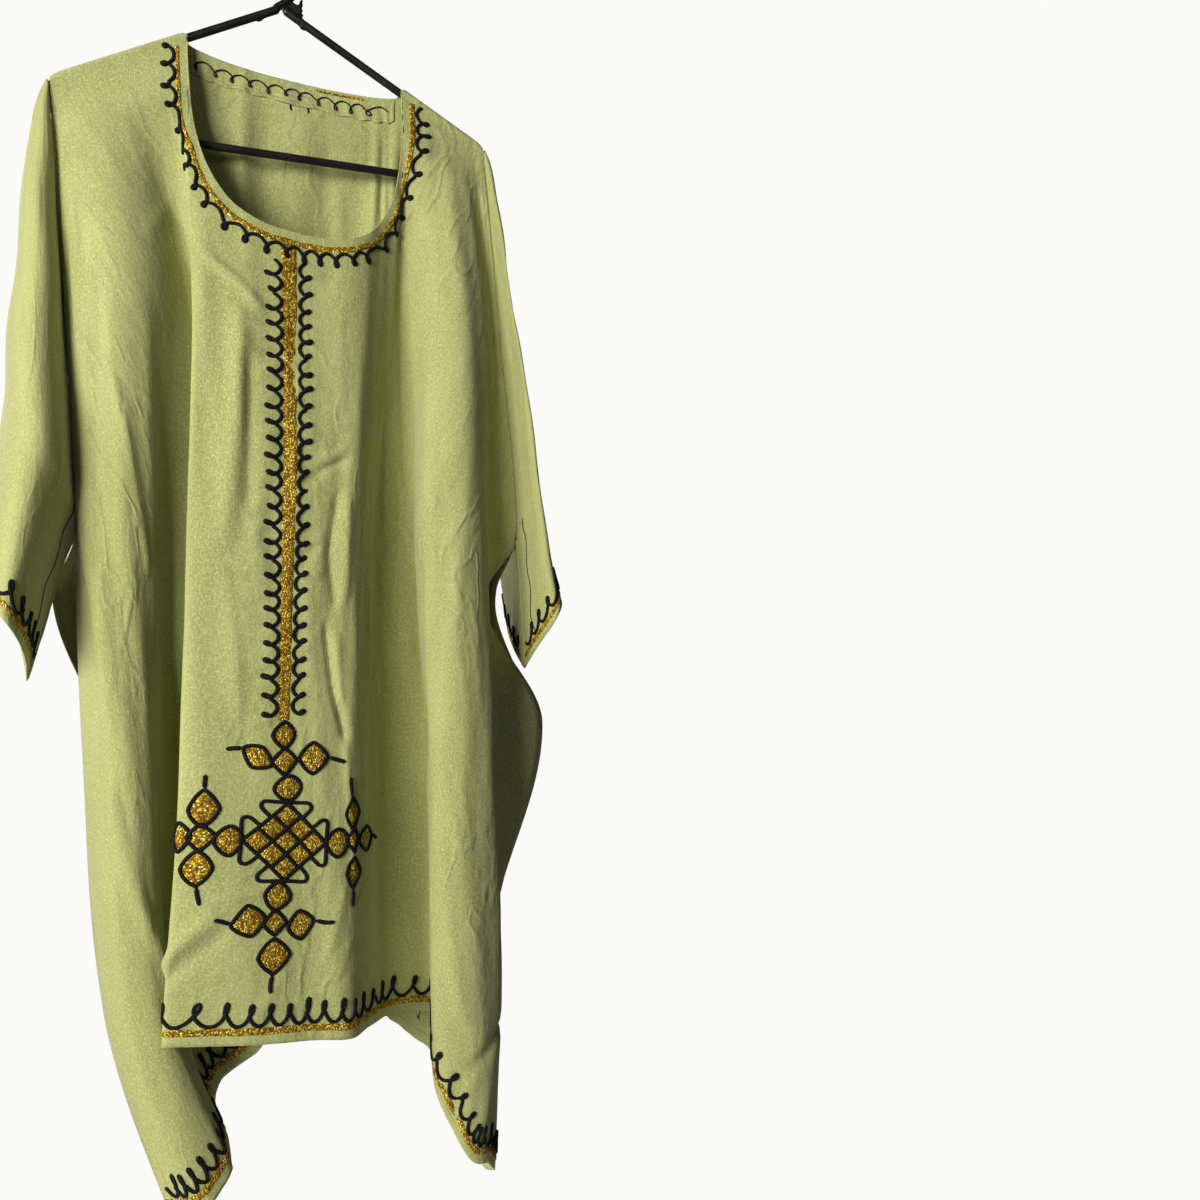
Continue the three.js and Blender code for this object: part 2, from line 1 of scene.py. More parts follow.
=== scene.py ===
# Loose embroidered dress on a moulded hanger. Metres, with X along the hanger, the front to -Y, Z up and the origin
# inside the hook. Sizes of the cloth and hanger are in mm.
import math
import bmesh
import bpy
import numpy as np
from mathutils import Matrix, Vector


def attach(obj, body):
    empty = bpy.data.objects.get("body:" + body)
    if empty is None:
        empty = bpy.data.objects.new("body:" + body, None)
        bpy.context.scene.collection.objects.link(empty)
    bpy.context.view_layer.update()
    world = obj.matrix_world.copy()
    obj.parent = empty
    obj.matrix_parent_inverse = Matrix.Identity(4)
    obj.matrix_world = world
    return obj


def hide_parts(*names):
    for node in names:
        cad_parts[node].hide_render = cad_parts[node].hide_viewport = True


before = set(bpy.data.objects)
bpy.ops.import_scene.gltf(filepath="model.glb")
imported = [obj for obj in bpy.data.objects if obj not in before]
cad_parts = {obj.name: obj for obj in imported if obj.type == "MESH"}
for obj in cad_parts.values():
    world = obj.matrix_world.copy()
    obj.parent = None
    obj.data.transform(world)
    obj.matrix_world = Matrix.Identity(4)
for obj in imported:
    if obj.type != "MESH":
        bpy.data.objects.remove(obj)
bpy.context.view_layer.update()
print("frame loaded")

mm = 0.001
rng = np.random.default_rng(7)

# Camera, level and a little to the left of the dress
view = {"place": (-0.2221, -1.2209, -0.665), "look": (0.421, 0.907, 0.0), "lens": 36.75}
cameraData = bpy.data.cameras.new("camera")
cameraData.lens = view["lens"]
cameraData.sensor_width = 36
camera = bpy.data.objects.new("camera", cameraData)
camera.location = view["place"]
camera.rotation_euler = Vector(view["look"]).to_track_quat("-Z", "Y").to_euler()
bpy.context.scene.collection.objects.link(camera)
bpy.context.scene.camera = camera

# Sizes, mm
cloth = {"wall": 0.9, "halfWidth": 557, "halfAtTop": 237, "topX": 209, "creaseDrop": 405, "centreHalf": 95,
         "wrapDrop": 40, "settle": 60}
hanger = {"tube": 8, "apexZ": -85, "slope": 0.525, "endX": 207, "bendZ": -207, "bendR": 23, "barZ": -230,
          "hookTube": 7, "hookR": 23.5, "nub": 5.6, "webRibs": 5, "rib": 3.4}
neck = {"x": 15.5, "halfWidth": 103.5, "corner": 6, "frontDrop": 182, "backDrop": 16, "power": 2.9,
        "facing": 23}
braid = {"width": 6.4, "thick": 1.0, "fromEdge": 8, "hemWidth": 7, "hemFromEdge": 8.5, "cuffFromEdge": 7.5}
placket = {"topZ": -334, "endZ": -775, "topWidth": 16.5, "endWidth": 12.5}
sleeve = {"underarm": 317, "end": 480, "besidePanel": 1.2, "halfRound": 260, "letGo": 20, "underarmZ": -600,
          "seamY": 0.5, "middleX": 225, "sag": 1.3, "ripple": 0.7}
shoulderR = 5.4
crestRise = shoulderR * math.hypot(1, hanger["slope"])
armEnd = {"from": 198, "over": 12, "drop": 4}
onCloth = cloth["wall"] / 2
weldGap = 2e-6  # metres

# Fold tables in mm. A row is one fold line down the cloth: how far it lies from the middle of the flat panel, the
# height where it meets the hem, and its (x, y) at each of the levels, from the lowest up
levels = (-1240, -1030, -800, -660, -600, -400, -200)
frontFolds = [
    (-557, -1214, [(-100, -76), (-165, -36), (-180, -20), (-184, -14), (-184.5, -1.2), (-196, -4.5), (-207, -7)]),
    (-502, -1206, [(-70, -92), (-146, -72), (-170, -52), (-178, -42), (-184, -34), (-190, -30), (-198, -9)]),
    (-446, -1182, [(-36, -77), (-113, -71), (-149, -65), (-164, -58), (-170, -54), (-172, -48), (-182, -11)]),
    (-395, -1160, [(-24, -50), (-104, -46), (-126, -57), (-142, -60), (-146, -60), (-148, -54), (-168, -12)]),
    (-340, -1150, [(-8, -26), (-112, -20), (-118, -28), (-121, -46), (-122, -48), (-124, -46), (-152, -13)]),
    (-280, -1128, [(-18, 1), (-82, 2), (-96, -4), (-106, -20), (-108, -22), (-104, -26), (-136, -14)]),
    (-220, -1104, [(-14, 0), (-26, -2), (-30, -4), (-30, -6), (-32, -6), (-80, -6), (-119, -14)]),
    (-155, -1080, [(-30, -38), (-38, -36), (-38, -34), (-36, -30), (-37, -29), (-70, -24), (-101, -13)]),
    (-95, -1056, [(-122, -95), (-117, -89), (-103, -78), (-96, -67), (-94, -64), (-87, -52), (-84, -12)]),
    (-48, -1061, [(-70, -99), (-66, -94), (-56, -85), (-50, -75), (-49, -72), (-45, -57), (-42, -14)]),
    (0, -1066, [(-24, -97), (-21, -92), (-13, -83), (-8, -73), (-6, -70), (-1, -53), (2, -14)]),
    (48, -1070, [(17, -93), (16, -88), (24, -79), (27, -70), (29, -67), (36, -52), (44, -14)]),
    (95, -1074, [(56, -88), (51, -84), (54, -73), (57, -64), (60, -61), (70, -47), (84, -12)]),
    (132, -1075, [(80, -62), (74, -57), (73, -49), (74, -42), (75, -40), (89, -32), (98, -13)]),
    (178, -1077, [(104, -32), (98, -28), (93, -23), (92, -17), (92, -14), (106, -13), (112, -14)]),
    (238, -1092, [(158, -6), (154, -5), (150, -4), (141, -4), (138, -4), (124, -6), (130, -14)]),
    (284, -1112, [(148, -36), (142, -36), (140, -33), (129, -30), (127, -28), (136, -24), (145, -14)]),
    (321, -1139, [(136, -66), (133, -66), (134, -58), (130, -54), (131, -52), (148, -42), (156, -13)]),
    (372, -1206, [(162, -84), (165, -83), (160, -75), (161, -67), (164, -64), (174, -48), (170, -12)]),
    (428, -1222, [(187, -77), (202, -66), (198, -60), (196, -50), (198, -44), (199, -32), (184, -11)]),
    (474, -1238, [(199, -59), (211, -42), (204, -42), (204, -24), (206, -16), (207, -12), (192, -9)]),
    (511, -1243, [(199, -45), (213, -24), (222, -10), (206, -6), (222, -9), (215, -9), (199, -8)]),
    (557, -1246, [(198, -29), (212, -8), (285, 20), (211, 5), (245, -1.2), (226, -4.5), (207, -7)]),
]
backFolds = [
    (-557, -1180, [(-96, 30), (-128, 24), (-156, 52), (-204, 64), (-184.5, 1.2), (-196, 4.5), (-207, 7)]),
    (-483, -1174, [(-108, 56), (-138, 54), (-156, 72), (-171, 80), (-175, 44), (-190, 34), (-198, 10)]),
    (-400, -1158, [(-112, 98), (-140, 100), (-150, 98), (-160, 90), (-166, 76), (-174, 58), (-178, 13)]),
    (-317, -1136, [(-100, 112), (-120, 114), (-126, 104), (-134, 86), (-138, 82), (-146, 62), (-158, 15)]),
    (-243, -1116, [(-88, 70), (-98, 70), (-104, 62), (-110, 54), (-112, 52), (-120, 40), (-136, 16)]),
    (-169, -1100, [(-74, 14), (-80, 14), (-84, 14), (-90, 16), (-92, 18), (-98, 20), (-112, 15)]),
    (-95, -1092, [(-58, 72), (-60, 70), (-64, 64), (-66, 58), (-66, 55), (-72, 40), (-84, 14)]),
    (-48, -1088, [(-26, 112), (-28, 110), (-32, 100), (-32, 78), (-32, 74), (-34, 54), (-42, 14)]),
    (0, -1086, [(6, 84), (6, 82), (4, 74), (4, 66), (4, 62), (4, 48), (2, 14)]),
    (48, -1088, [(42, 110), (42, 108), (40, 98), (40, 76), (40, 72), (42, 54), (44, 14)]),
    (95, -1090, [(76, 72), (76, 70), (74, 62), (76, 56), (76, 54), (80, 42), (84, 14)]),
    (169, -1092, [(94, 14), (96, 14), (98, 14), (100, 16), (100, 18), (102, 20), (110, 15)]),
    (243, -1102, [(110, 72), (114, 72), (118, 64), (122, 56), (122, 54), (124, 42), (134, 16)]),
    (317, -1128, [(130, 112), (140, 114), (146, 106), (152, 86), (152, 82), (152, 60), (154, 15)]),
    (400, -1156, [(164, 94), (180, 96), (186, 88), (190, 80), (188, 78), (184, 56), (174, 13)]),
    (483, -1176, [(184, 60), (208, 66), (236, 78), (226, 60), (222, 44), (212, 30), (192, 10)]),
    (557, -1184, [(180, 30), (214, 40), (286, 58), (238, 42), (245, 1.2), (226, 4.5), (207, 7)]),
]
# Sections down the sleeves: distance from the hanger's end, heights of top fold and seam, and then pairs for the
# left and right sleeve: x of the fold, x of the seam, and how far the front and the back stand out
sleeveColumns = ("along", "foldZ", "seamZ", "fold", "seam", "front", "back")
sleeveRows = [
    (3, -192.5, -198, (209.8, 209.8), (208, 209), (3, 3), (3, 3)),
    (14, -203, -210, (214.5, 214.5), (208, 210), (6, 6), (6, 6)),
    (60, -247, -270, (223.5, 222), (204, 216), (16, 14), (16, 16)),
    (140, -327, -372, (232, 230), (199, 224), (36, 27), (36, 34)),
    (220, -406, -474, (240, 239), (194, 233), (56, 38), (56, 52)),
    (317, -501, -600, (246, 253), (187, 246), (80, 47), (80, 72)),
    (360, -543, -634, (250, 259), (197, 249), (88, 50), (88, 79)),
    (420, -602, -686, (256, 269), (211, 252), (95, 55), (95, 84)),
    (480, -660, -738, (263, 285), (226, 256), (98, 60), (98, 87)),
]
sleeveSections = dict(zip(sleeveColumns, zip(*sleeveRows)))


def smooth(t):
    c = np.clip(t, 0, 1)
    return c * c * (3 - 2 * c)


def mix(a, b, t):
    return a + (b - a) * t


# Smooth curve through rows of values at uneven stations; with steady set it never swings past them
def through(stations, values, at, steady=False):
    stations = np.asarray(stations, float)
    values = np.asarray(values, float)
    at = np.clip(np.asarray(at, float), stations[0], stations[-1])
    gaps = np.diff(stations)
    if values.ndim == 1:
        values = values[:, None] * np.ones((1, at.size))
    steps = np.diff(values, axis=0) / gaps[:, None]
    slopes = np.empty_like(values)
    slopes[0] = steps[0]
    slopes[-1] = steps[-1]
    before = gaps[:-1, None]
    after = gaps[1:, None]
    mean = (steps[:-1] * after + steps[1:] * before) / (before + after)
    if steady:
        most = 2 * np.minimum(abs(steps[:-1]), abs(steps[1:]))
        mean = np.where(steps[:-1] * steps[1:] <= 0, 0, np.clip(mean, -most, most))
    slopes[1:-1] = mean
    i = np.clip(np.searchsorted(stations, at, side="right") - 1, 0, len(stations) - 2)
    pick = np.arange(at.size)
    h = gaps[i]
    f = (at - stations[i]) / h
    rest = 1 - f
    low, high = values[i, pick], values[i + 1, pick]
    return (low * rest * rest * (1 + 2 * f) + high * f * f * (3 - 2 * f)
            + h * f * rest * (slopes[i, pick] * rest - slopes[i + 1, pick] * f))


def crestZ(x):
    return (hanger["apexZ"] + crestRise - hanger["slope"] * abs(x)
            - armEnd["drop"] * np.maximum(0, (abs(x) - armEnd["from"]) / armEnd["over"]) ** 2)


def widthAt(z):
    topZ = crestZ(cloth["topX"])
    return mix(cloth["halfAtTop"], cloth["halfWidth"], np.clip((topZ - z) / cloth["creaseDrop"], 0, 1))


# Place in the fold tables of a thread that lies u mm from the middle at height z, and back
def stationOf(u, z):
    middle = cloth["centreHalf"]
    far = middle + (abs(u) - middle) * (cloth["halfWidth"] - middle) / (widthAt(z) - middle)
    return np.where(abs(u) <= middle, u, np.sign(u) * far)


def flatOf(station, z):
    middle = cloth["centreHalf"]
    far = middle + (abs(station) - middle) * (widthAt(z) - middle) / (cloth["halfWidth"] - middle)
    return np.where(abs(station) <= middle, station, np.sign(station) * far)


class Drape:
    dense = np.linspace(-cloth["halfWidth"], cloth["halfWidth"], 2 * cloth["halfWidth"] + 1)

    def __init__(self, side, rows):
        self.side = side
        self.facing = -1 if side == "front" else 1
        stations, hems, paths = zip(*rows)
        self.hems = through(stations, hems, self.dense)
        self.levels = [[through(stations, [path[k][axis] for path in paths], self.dense)
                        for k in range(len(levels))] for axis in (0, 1)]

    def hem(self, station):
        return np.interp(station, self.dense, self.hems)

    def axis(self, number, station, z):
        values = np.array([np.interp(station, self.dense, level) for level in self.levels[number]])
        return through(levels, values, z, True)

    # Middle of the smooth cloth, wrapped over the hanger's arms at the shoulder
    def plain(self, station, z):
        x = self.axis(0, station, z)
        y = self.axis(1, station, z)
        below = np.maximum(0, crestZ(x) - z)
        around = np.sqrt(np.maximum(0, below * (2 * shoulderR - below)))
        clear = np.maximum(shoulderR, y * self.facing)
        free = mix(shoulderR, clear, smooth((below - shoulderR) / cloth["settle"]))
        wrapped = self.facing * np.where(below < shoulderR, around, free)
        return np.stack([x, mix(wrapped, y, smooth((below - cloth["wrapDrop"]) / cloth["settle"])), z], -1)

    def normal(self, station, z):
        step = 2.0
        across = self.plain(station + step, z) - self.plain(station - step, z)
        down = self.plain(station, z - step) - self.plain(station, z + step)
        out = np.cross(down, across)
        return out / np.maximum(np.linalg.norm(out, axis=-1, keepdims=True), 1e-9)

    # A place on the creased cloth, lifted off its middle
    def place(self, station, z, lift=0.0):
        station = np.atleast_1d(np.asarray(station, float))
        z = np.atleast_1d(np.asarray(z, float))
        out = self.normal(station, z)
        if self.side == "back":
            out = -out
        return self.plain(station, z) + out * (creaseAt(self.side, station, z) + lift)[:, None]

    # The thread that passes x at height z, found by halving the span it lies in
    def stationAtX(self, x, z, span=300.0, halvings=24):
        a = np.full(np.shape(x), -span)
        b = np.full(np.shape(x), span)
        for _ in range(halvings):
            middle = (a + b) / 2
            under = self.axis(0, middle, z) < x
            a = np.where(under, middle, a)
            b = np.where(under, b, middle)
        return (a + b) / 2


# Creases pressed into the cloth, mm: station and z of its two ends, half width, rise and sideways bow
creases = {
    "front": [
        (-50, -400, -62, -615, 11, 4.2, 3),
        (-43, -440, -40, -575, 7, -3.6, 0),
        (-62, -624, -45, -769, 9, 2.8, 0),
        (-80, -348, -29, -397, 7, 3.0, 4),
        (18, -562, 41, -541, 4.5, -3.0, 0),
        (41, -541, 76, -531, 4.5, -2.6, 0),
        (30, -541, 72, -522, 6, 2.0, 0),
        (63, -565, 54, -623, 5, -4.2, 0),
        (54, -623, 65, -670, 5, -3.6, 0),
        (50, -688, 61, -749, 5.5, -4.6, 0),
        (61, -749, 82, -795, 5.5, -4.6, 0),
        (66, -700, 74, -765, 7, 2.6, 0),
        (76, -570, 78, -665, 8, 3.4, 0),
        (33, -379, 51, -349, 5, -2.4, 0),
        (-57, -629, -14, -642, 6, 2.0, 0),
        (15, -628, 37, -614, 4.5, -2.4, 0),
        (16, -640, 44, -640, 6, 1.8, 0),
        (-104, -992, -58, -946, 8, 4.4, 0),
        (-92, -1000, -50, -962, 7, -2.2, 0),
        (-64, -935, -12, -926, 5, 1.6, 0),
        (81, -801, 96, -919, 6, 2.4, 0),
        (60, -1000, 84, -930, 8, 1.6, 0),
        (-20, -1040, 10, -1000, 8, 1.2, 0),
        (-414, -470, -384, -540, 8, 2.0, 0),
        (-384, -540, -356, -640, 8, 2.6, 0),
        (-370, -520, -344, -620, 6, -1.4, 0),
        (-398, -665, -417, -700, 5, 1.8, 0),
        (-479, -828, -456, -929, 14, 4.5, 0),
        (-456, -929, -410, -1020, 14, 5.5, 0),
        (-410, -1020, -360, -1110, 14, 5.5, 0),
        (-430, -1050, -420, -1120, 16, -3.0, 0),
        (-500, -560, -470, -800, 18, 2.0, 8),
        (345, -320, 349, -379, 4.5, -2.2, 0),
        (287, -362, 331, -586, 12, 2.2, 0),
        (371, -626, 379, -822, 12, 1.6, -6),
        (340, -899, 348, -986, 10, 3.6, 0),
        (348, -986, 362, -1074, 10, 3.8, 0),
        (470, -1085, 363, -1127, 8, -4.2, 0),
        (363, -1127, 347, -1200, 8, -3.4, 0),
        (430, -1100, 400, -1180, 12, 3.0, 0),
        (200, -300, 270, -330, 9, -2.2, 0),
        (190, -270, 300, -262, 10, 1.6, 0),
        (-200, -280, -330, -330, 12, 1.8, 0),
    ],
    "back": [
        (-38, -150, -42, -420, 7, -3.0, 0),
        (4, -165, 20, -460, 8, -3.4, 0),
        (34, -170, 40, -300, 7, -2.2, 0),
        (-16, -170, -10, -380, 10, 2.4, 0),
        (-70, -260, -50, -420, 9, 2.6, 0),
        (60, -210, 66, -380, 8, 2.0, 0),
        (-330, -640, -260, -900, 16, 5.0, 0),
        (300, -560, 240, -820, 14, 4.0, 0),
        (90, -500, 40, -760, 10, 3.2, 0),
        (-90, -620, -30, -840, 10, -3.0, 0),
        (400, -900, 330, -1090, 14, -4.0, 0),
        (-420, -880, -380, -1080, 14, 4.0, 0),
        (10, -860, 60, -1050, 9, 2.6, 0),
    ],
}
# Small puckers where the stitching draws the cloth in beside the band
pucker = {"from": -356, "pitch": -15.5, "x": 11}
for hand in (-1, 1):
    for z in np.arange(pucker["from"], placket["endZ"], pucker["pitch"]):
        slant = rng.uniform(-9, 9)
        reach = pucker["x"] + rng.uniform(16, 34)
        creases["front"].append((hand * pucker["x"], z + 2, hand * reach, z + slant,
                                 rng.uniform(3.8, 6), rng.uniform(-1.9, 1.5), 0))
# Ripples across the cloth: wave length, rise, lean down the cloth and start
ripples = {
    "front": [(61, 0.9, 0.0021, 0.4), (37, 0.55, -0.0033, 1.9), (23, 0.3, 0.0052, 4.1), (95, 1.1, 0.0012, 5.2)],
    "back": [(58, 1.6, -0.0018, 0.9), (34, 1.0, 0.0029, 2.6), (88, 1.5, 0.0011, 3.3), (21, 0.4, 0.006, 1.2)],
}


def creaseAt(side, station, z):
    rise = np.zeros_like(station)
    for wave, high, lean, start in ripples[side]:
        fade = 0.55 + 0.45 * np.sin(z / 130 + start * 3 + station / 210)
        swing = start + 0.9 * np.sin(z / 170 + start)
        rise += high * fade * np.sin(2 * math.pi * (station / wave + z * lean) + swing)
    rise *= smooth((-150 - z) / 120)
    for s0, z0, s1, z1, wide, high, bow in creases[side]:
        length2 = (s1 - s0) ** 2 + (z1 - z0) ** 2
        t = ((station - s0) * (s1 - s0) + (z - z0) * (z1 - z0)) / length2
        c = np.clip(t, 0, 1)
        bowed = bow * np.sin(math.pi * c)
        away = np.hypot(station - mix(s0, s1, c) - bowed, z - mix(z0, z1, c)) / wide
        taper = np.clip(np.minimum(t + 0.15, 1.15 - t) / 0.3, 0, 1)
        rise += high * smooth(taper) * np.exp(-away ** 2 * 1.6)
    return rise


front = Drape("front", frontFolds)
back = Drape("back", backFolds)


# The neckline from 0 at the right shoulder to half a circle at the left, and out mm beside it
def neckline(side, turn, out=0.0):
    power = 2 / neck["power"]
    sideways = np.sign(np.cos(turn)) * abs(np.cos(turn)) ** power
    down = abs(np.sin(turn)) ** power
    drop = neck["frontDrop" if side == "front" else "backDrop"] - shoulderR + out * 0.9
    x = neck["x"] + (neck["halfWidth"] + out) * sideways
    left = crestZ(neck["x"] - neck["halfWidth"] - out)
    right = crestZ(neck["x"] + neck["halfWidth"] + out)
    return x, mix(left, right, (sideways + 1) / 2) - shoulderR - drop * down


# How far below the crest each row lies where the cloth bends over the hanger's arm
bendDrops = (0.03, 0.5, 1.3, 2.6, 4.0, shoulderR)


# Top ends of a panel's threads from the middle out to one hand
def topEnds(drape, hand, count):
    turn = np.pi / 2 - hand * (np.pi / 2) * np.linspace(0, 1, count["neck"] + 1) ** 0.8
    x, z = neckline(drape.side, turn)
    ends = [(s, h, 0.0) for s, h in zip(drape.stationAtX(x, z), z)]
    edgeX = neck["x"] + hand * neck["halfWidth"]
    for drop, t in ((4.0, 0.25), (2.6, 0.5), (1.3, 0.75), (bendDrops[0], 1.0)):
        x = np.array([edgeX + hand * neck["corner"] * t])
        ends.append((drape.stationAtX(x, crestZ(x))[0], crestZ(x)[0] - drop, 0.0))
    edge = hand * cloth["halfWidth"]
    armStart = ends[-1][0]
    for t in np.linspace(0, 1, count["arm"] + 1)[1:]:
        s = mix(armStart, edge, t)
        x = drape.axis(0, np.array([s]), np.array([float(levels[-1])]))[0]
        ends.append((s, crestZ(x) - bendDrops[0], smooth(t)))
    endZ = ends[-1][1]
    ends += [(edge, endZ - drop, 1.0) for drop in bendDrops[2:]]
    down = np.linspace(endZ - shoulderR, endZ - cloth["creaseDrop"], count["crease"] + 1)
    return ends + [(edge, z, 1.0) for z in down[1:]]


# Places on a panel, row by row from the top edge to the hem. With each goes its place on the flat cloth and its
# distance from the hem and the side, which stops counting at noHem
noHem = 60.0
centreShare = 0.62  # how evenly threads spread from the middle of a panel to its sides


def panelGrid(drape, count):
    threads = []
    for hand in (-1, 1):
        ends = topEnds(drape, hand, count)
        spread = np.linspace(0, 1, len(ends))
        spread = hand * cloth["halfWidth"] * (centreShare * spread + (1 - centreShare) * spread ** 3)
        named = [(*end, full) for end, full in zip(ends, spread)]
        threads = named[::-1] if hand < 0 else threads + named[1:]
    top, topZ, crease, full = (np.array(column, float) for column in zip(*threads))
    hem = drape.hem(full)
    rows = [topZ - drop + bendDrops[0] for drop in bendDrops]
    rows += [mix(rows[-1], hem, t ** 1.1) for t in np.linspace(0, 1, count["rows"] + 1)[1:]]
    grid = []
    uv = []
    for z in rows:
        t = (topZ - z) / (topZ - hem)
        blend = mix(smooth(t * 1.3), 1 - (1 - np.clip(t, 0, 1)) ** 3, crease)
        station = mix(top, full, blend)
        grid.append(drape.place(station, z))
        side = np.where(z < topZ.min() - 300, cloth["halfWidth"] - abs(station), noHem)
        uv.append(np.stack([flatOf(station, z), z, np.minimum(z - hem, noHem), side], -1))
    return np.array(grid), np.array(uv)


# A grid of faces with its corners at the given places in mm; what comes back is each corner's row and column
def layGrid(bm, places):
    rows, columns = places.shape[:2]
    made = bmesh.ops.create_grid(bm, x_segments=columns - 1, y_segments=rows - 1, size=0.5)
    cell = {}
    for vert in made["verts"]:
        i = round((0.5 - vert.co.y) * (rows - 1))
        j = round((vert.co.x + 0.5) * (columns - 1))
        cell[vert] = (i, j)
        vert.co = Vector(places[i, j] * mm)
    return cell


# Smooth faces, with two of the values to each map
def mapFaces(cell, maps, values):
    for face in {face for vert in cell for face in vert.link_faces}:
        face.smooth = True
        for corner in face.loops:
            i, j = cell[corner.vert]
            for k, layer in enumerate(maps):
                corner[layer].uv = values[i, j, 2 * k:2 * k + 2]


def objectFrom(name, bm, material):
    mesh = bpy.data.meshes.new(name)
    bm.to_mesh(mesh)
    bm.free()
    mesh.materials.append(material)
    piece = bpy.data.objects.new(name, mesh)
    bpy.context.scene.collection.objects.link(piece)
    return piece


# A sheet from a grid of places, faced outward by a direction for each face, or by one for each place in facing
def gridObject(name, grid, uv, outward, material, thick=None, facing=None):
    bm = bmesh.new()
    maps = [bm.loops.layers.uv.new(key) for key in ("flat", "edges")]
    cell = layGrid(bm, grid)
    mapFaces(cell, maps, uv * mm)
    bm.normal_update()
    if facing is None:
        agree = sum(face.normal.dot(outward(face.calc_center_median())) * face.calc_area() for face in bm.faces)
    else:
        agree = sum(vert.normal.dot(Vector(facing[at])) for vert, at in cell.items())
    if agree < 0:
        bmesh.ops.reverse_faces(bm, faces=bm.faces)
    piece = objectFrom(name, bm, material)
    if thick:
        wall = piece.modifiers.new("thickness", "SOLIDIFY")
        wall.thickness = thick * mm
        wall.offset = 0
    return piece


# Soft light from the left, and a pale surround that lights the cloth only weakly
surroundStrength = {"To Min": 0.035, "To Max": 0.97}  # on the cloth, and as the camera sees it
lampAim = (0, 0, -0.62)
world = bpy.data.worlds.new("world")
world.use_nodes = True
tree = world.node_tree
surround = tree.nodes["Background"]
surround.inputs["Color"].default_value = (1.0, 0.99, 0.97, 1)
path = tree.nodes.new("ShaderNodeLightPath")
strength = tree.nodes.new("ShaderNodeMapRange")
for key, value in surroundStrength.items():
    strength.inputs[key].default_value = value
tree.links.new(path.outputs["Is Camera Ray"], strength.inputs["Value"])
tree.links.new(strength.outputs[0], surround.inputs["Strength"])
bpy.context.scene.world = world
bpy.context.scene.view_settings.view_transform = "Standard"

lamps = [
    {"name": "key", "place": (-2.0, -1.85, -0.15), "size": 1.2, "power": 93, "colour": (1.0, 0.97, 0.92)},
    {"name": "left", "place": (-2.7, -0.5, -0.1), "size": 1.0, "power": 20, "colour": (1.0, 0.97, 0.92)},
    {"name": "front", "place": (0.1, -2.6, 0.4), "size": 1.0, "power": 3, "colour": (1.0, 0.98, 0.95)},
    {"name": "behind", "place": (-0.9, 2.4, 0.2), "size": 1.4, "power": 44, "colour": (1.0, 0.98, 0.95)},
]
for row in lamps:
    light = bpy.data.lights.new(row["name"], "AREA")
    light.size = row["size"]
    light.energy = row["power"]
    light.color = row["colour"]
    lamp = bpy.data.objects.new(row["name"], light)
    lamp.location = row["place"]
    lamp.rotation_euler = (Vector(lampAim) - Vector(row["place"])).to_track_quat("-Z", "Y").to_euler()
    bpy.context.scene.collection.objects.link(lamp)


# Materials are drawn with nodes; a value wraps a socket so that sums read as sums
class Value:
    def __init__(self, graph, socket):
        self.graph = graph
        self.socket = socket

    def __add__(self, other):
        return self.graph.math("ADD", self, other)

    def __sub__(self, other):
        return self.graph.math("SUBTRACT", self, other)

    def __mul__(self, other):
        return self.graph.math("MULTIPLY", self, other)


class Graph:
    def __init__(self, name):
        self.material = bpy.data.materials.new(name)
        self.material.use_nodes = True
        self.tree = self.material.node_tree
        self.tree.nodes.clear()

    def node(self, kind, settings=None, inputs=None):
        made = self.tree.nodes.new(kind)
        for key, value in (settings or {}).items():
            setattr(made, key, value)
        for key, value in (inputs or {}).items():
            if isinstance(value, Value):
                self.tree.links.new(value.socket, made.inputs[key])
            else:
                made.inputs[key].default_value = value
        return made

    def read(self, kind, output, settings=None, inputs=None):
        return Value(self, self.node(kind, settings, inputs).outputs[output])

    def math(self, operation, a, b=0.0):
        return self.read("ShaderNodeMath", 0, {"operation": operation}, {0: a, 1: b})

    def uvMap(self, name):
        return self.read("ShaderNodeUVMap", "UV", {"uv_map": name})

    def split(self, vector):
        parts = self.node("ShaderNodeSeparateXYZ", None, {0: vector})
        return Value(self, parts.outputs[0]), Value(self, parts.outputs[1])

    def stretch(self, vector, scale):
        return self.read("ShaderNodeMapping", 0, None, {"Vector": vector, "Scale": scale})

    def noise(self, vector, scale, detail=2.0, rough=0.5):
        return self.read("ShaderNodeTexNoise", "Fac", None,
                         {"Vector": vector, "Scale": scale, "Detail": detail, "Roughness": rough})

    # Noise on the flat cloth, with so many cells to a metre across it and down it
    def clothNoise(self, uv, across, down, detail=2.0, rough=0.5):
        return self.noise(self.stretch(uv, (across, down, 1)), 1.0, detail, rough)

    # From one range to another, held at its ends
    def ramp(self, value, low, high, toLow=0.0, toHigh=1.0):
        return self.read("ShaderNodeMapRange", 0, {"interpolation_type": "SMOOTHSTEP"},
                         {0: value, 1: low, 2: high, 3: toLow, 4: toHigh})

    def blend(self, factor, a, b):
        return self.read("ShaderNodeMix", 2, {"data_type": "RGBA"}, {0: factor, 6: a, 7: b})

    def bump(self, height, strength, distance, normal=None):
        inputs = {"Height": height, "Strength": strength, "Distance": distance}
        if normal is not None:
            inputs["Normal"] = normal
        return self.read("ShaderNodeBump", 0, None, inputs)

    def finish(self, **inputs):
        names = {"colour": "Base Color", "rough": "Roughness", "metal": "Metallic", "normal": "Normal",
                 "sheen": "Sheen Weight", "sheenRough": "Sheen Roughness", "specular": "Specular IOR Level"}
        named = {names[key]: value for key, value in inputs.items()}
        shader = self.node("ShaderNodeBsdfPrincipled", None, named)
        out = self.node("ShaderNodeOutputMaterial")
        self.tree.links.new(shader.outputs[0], out.inputs[0])
        return self.material


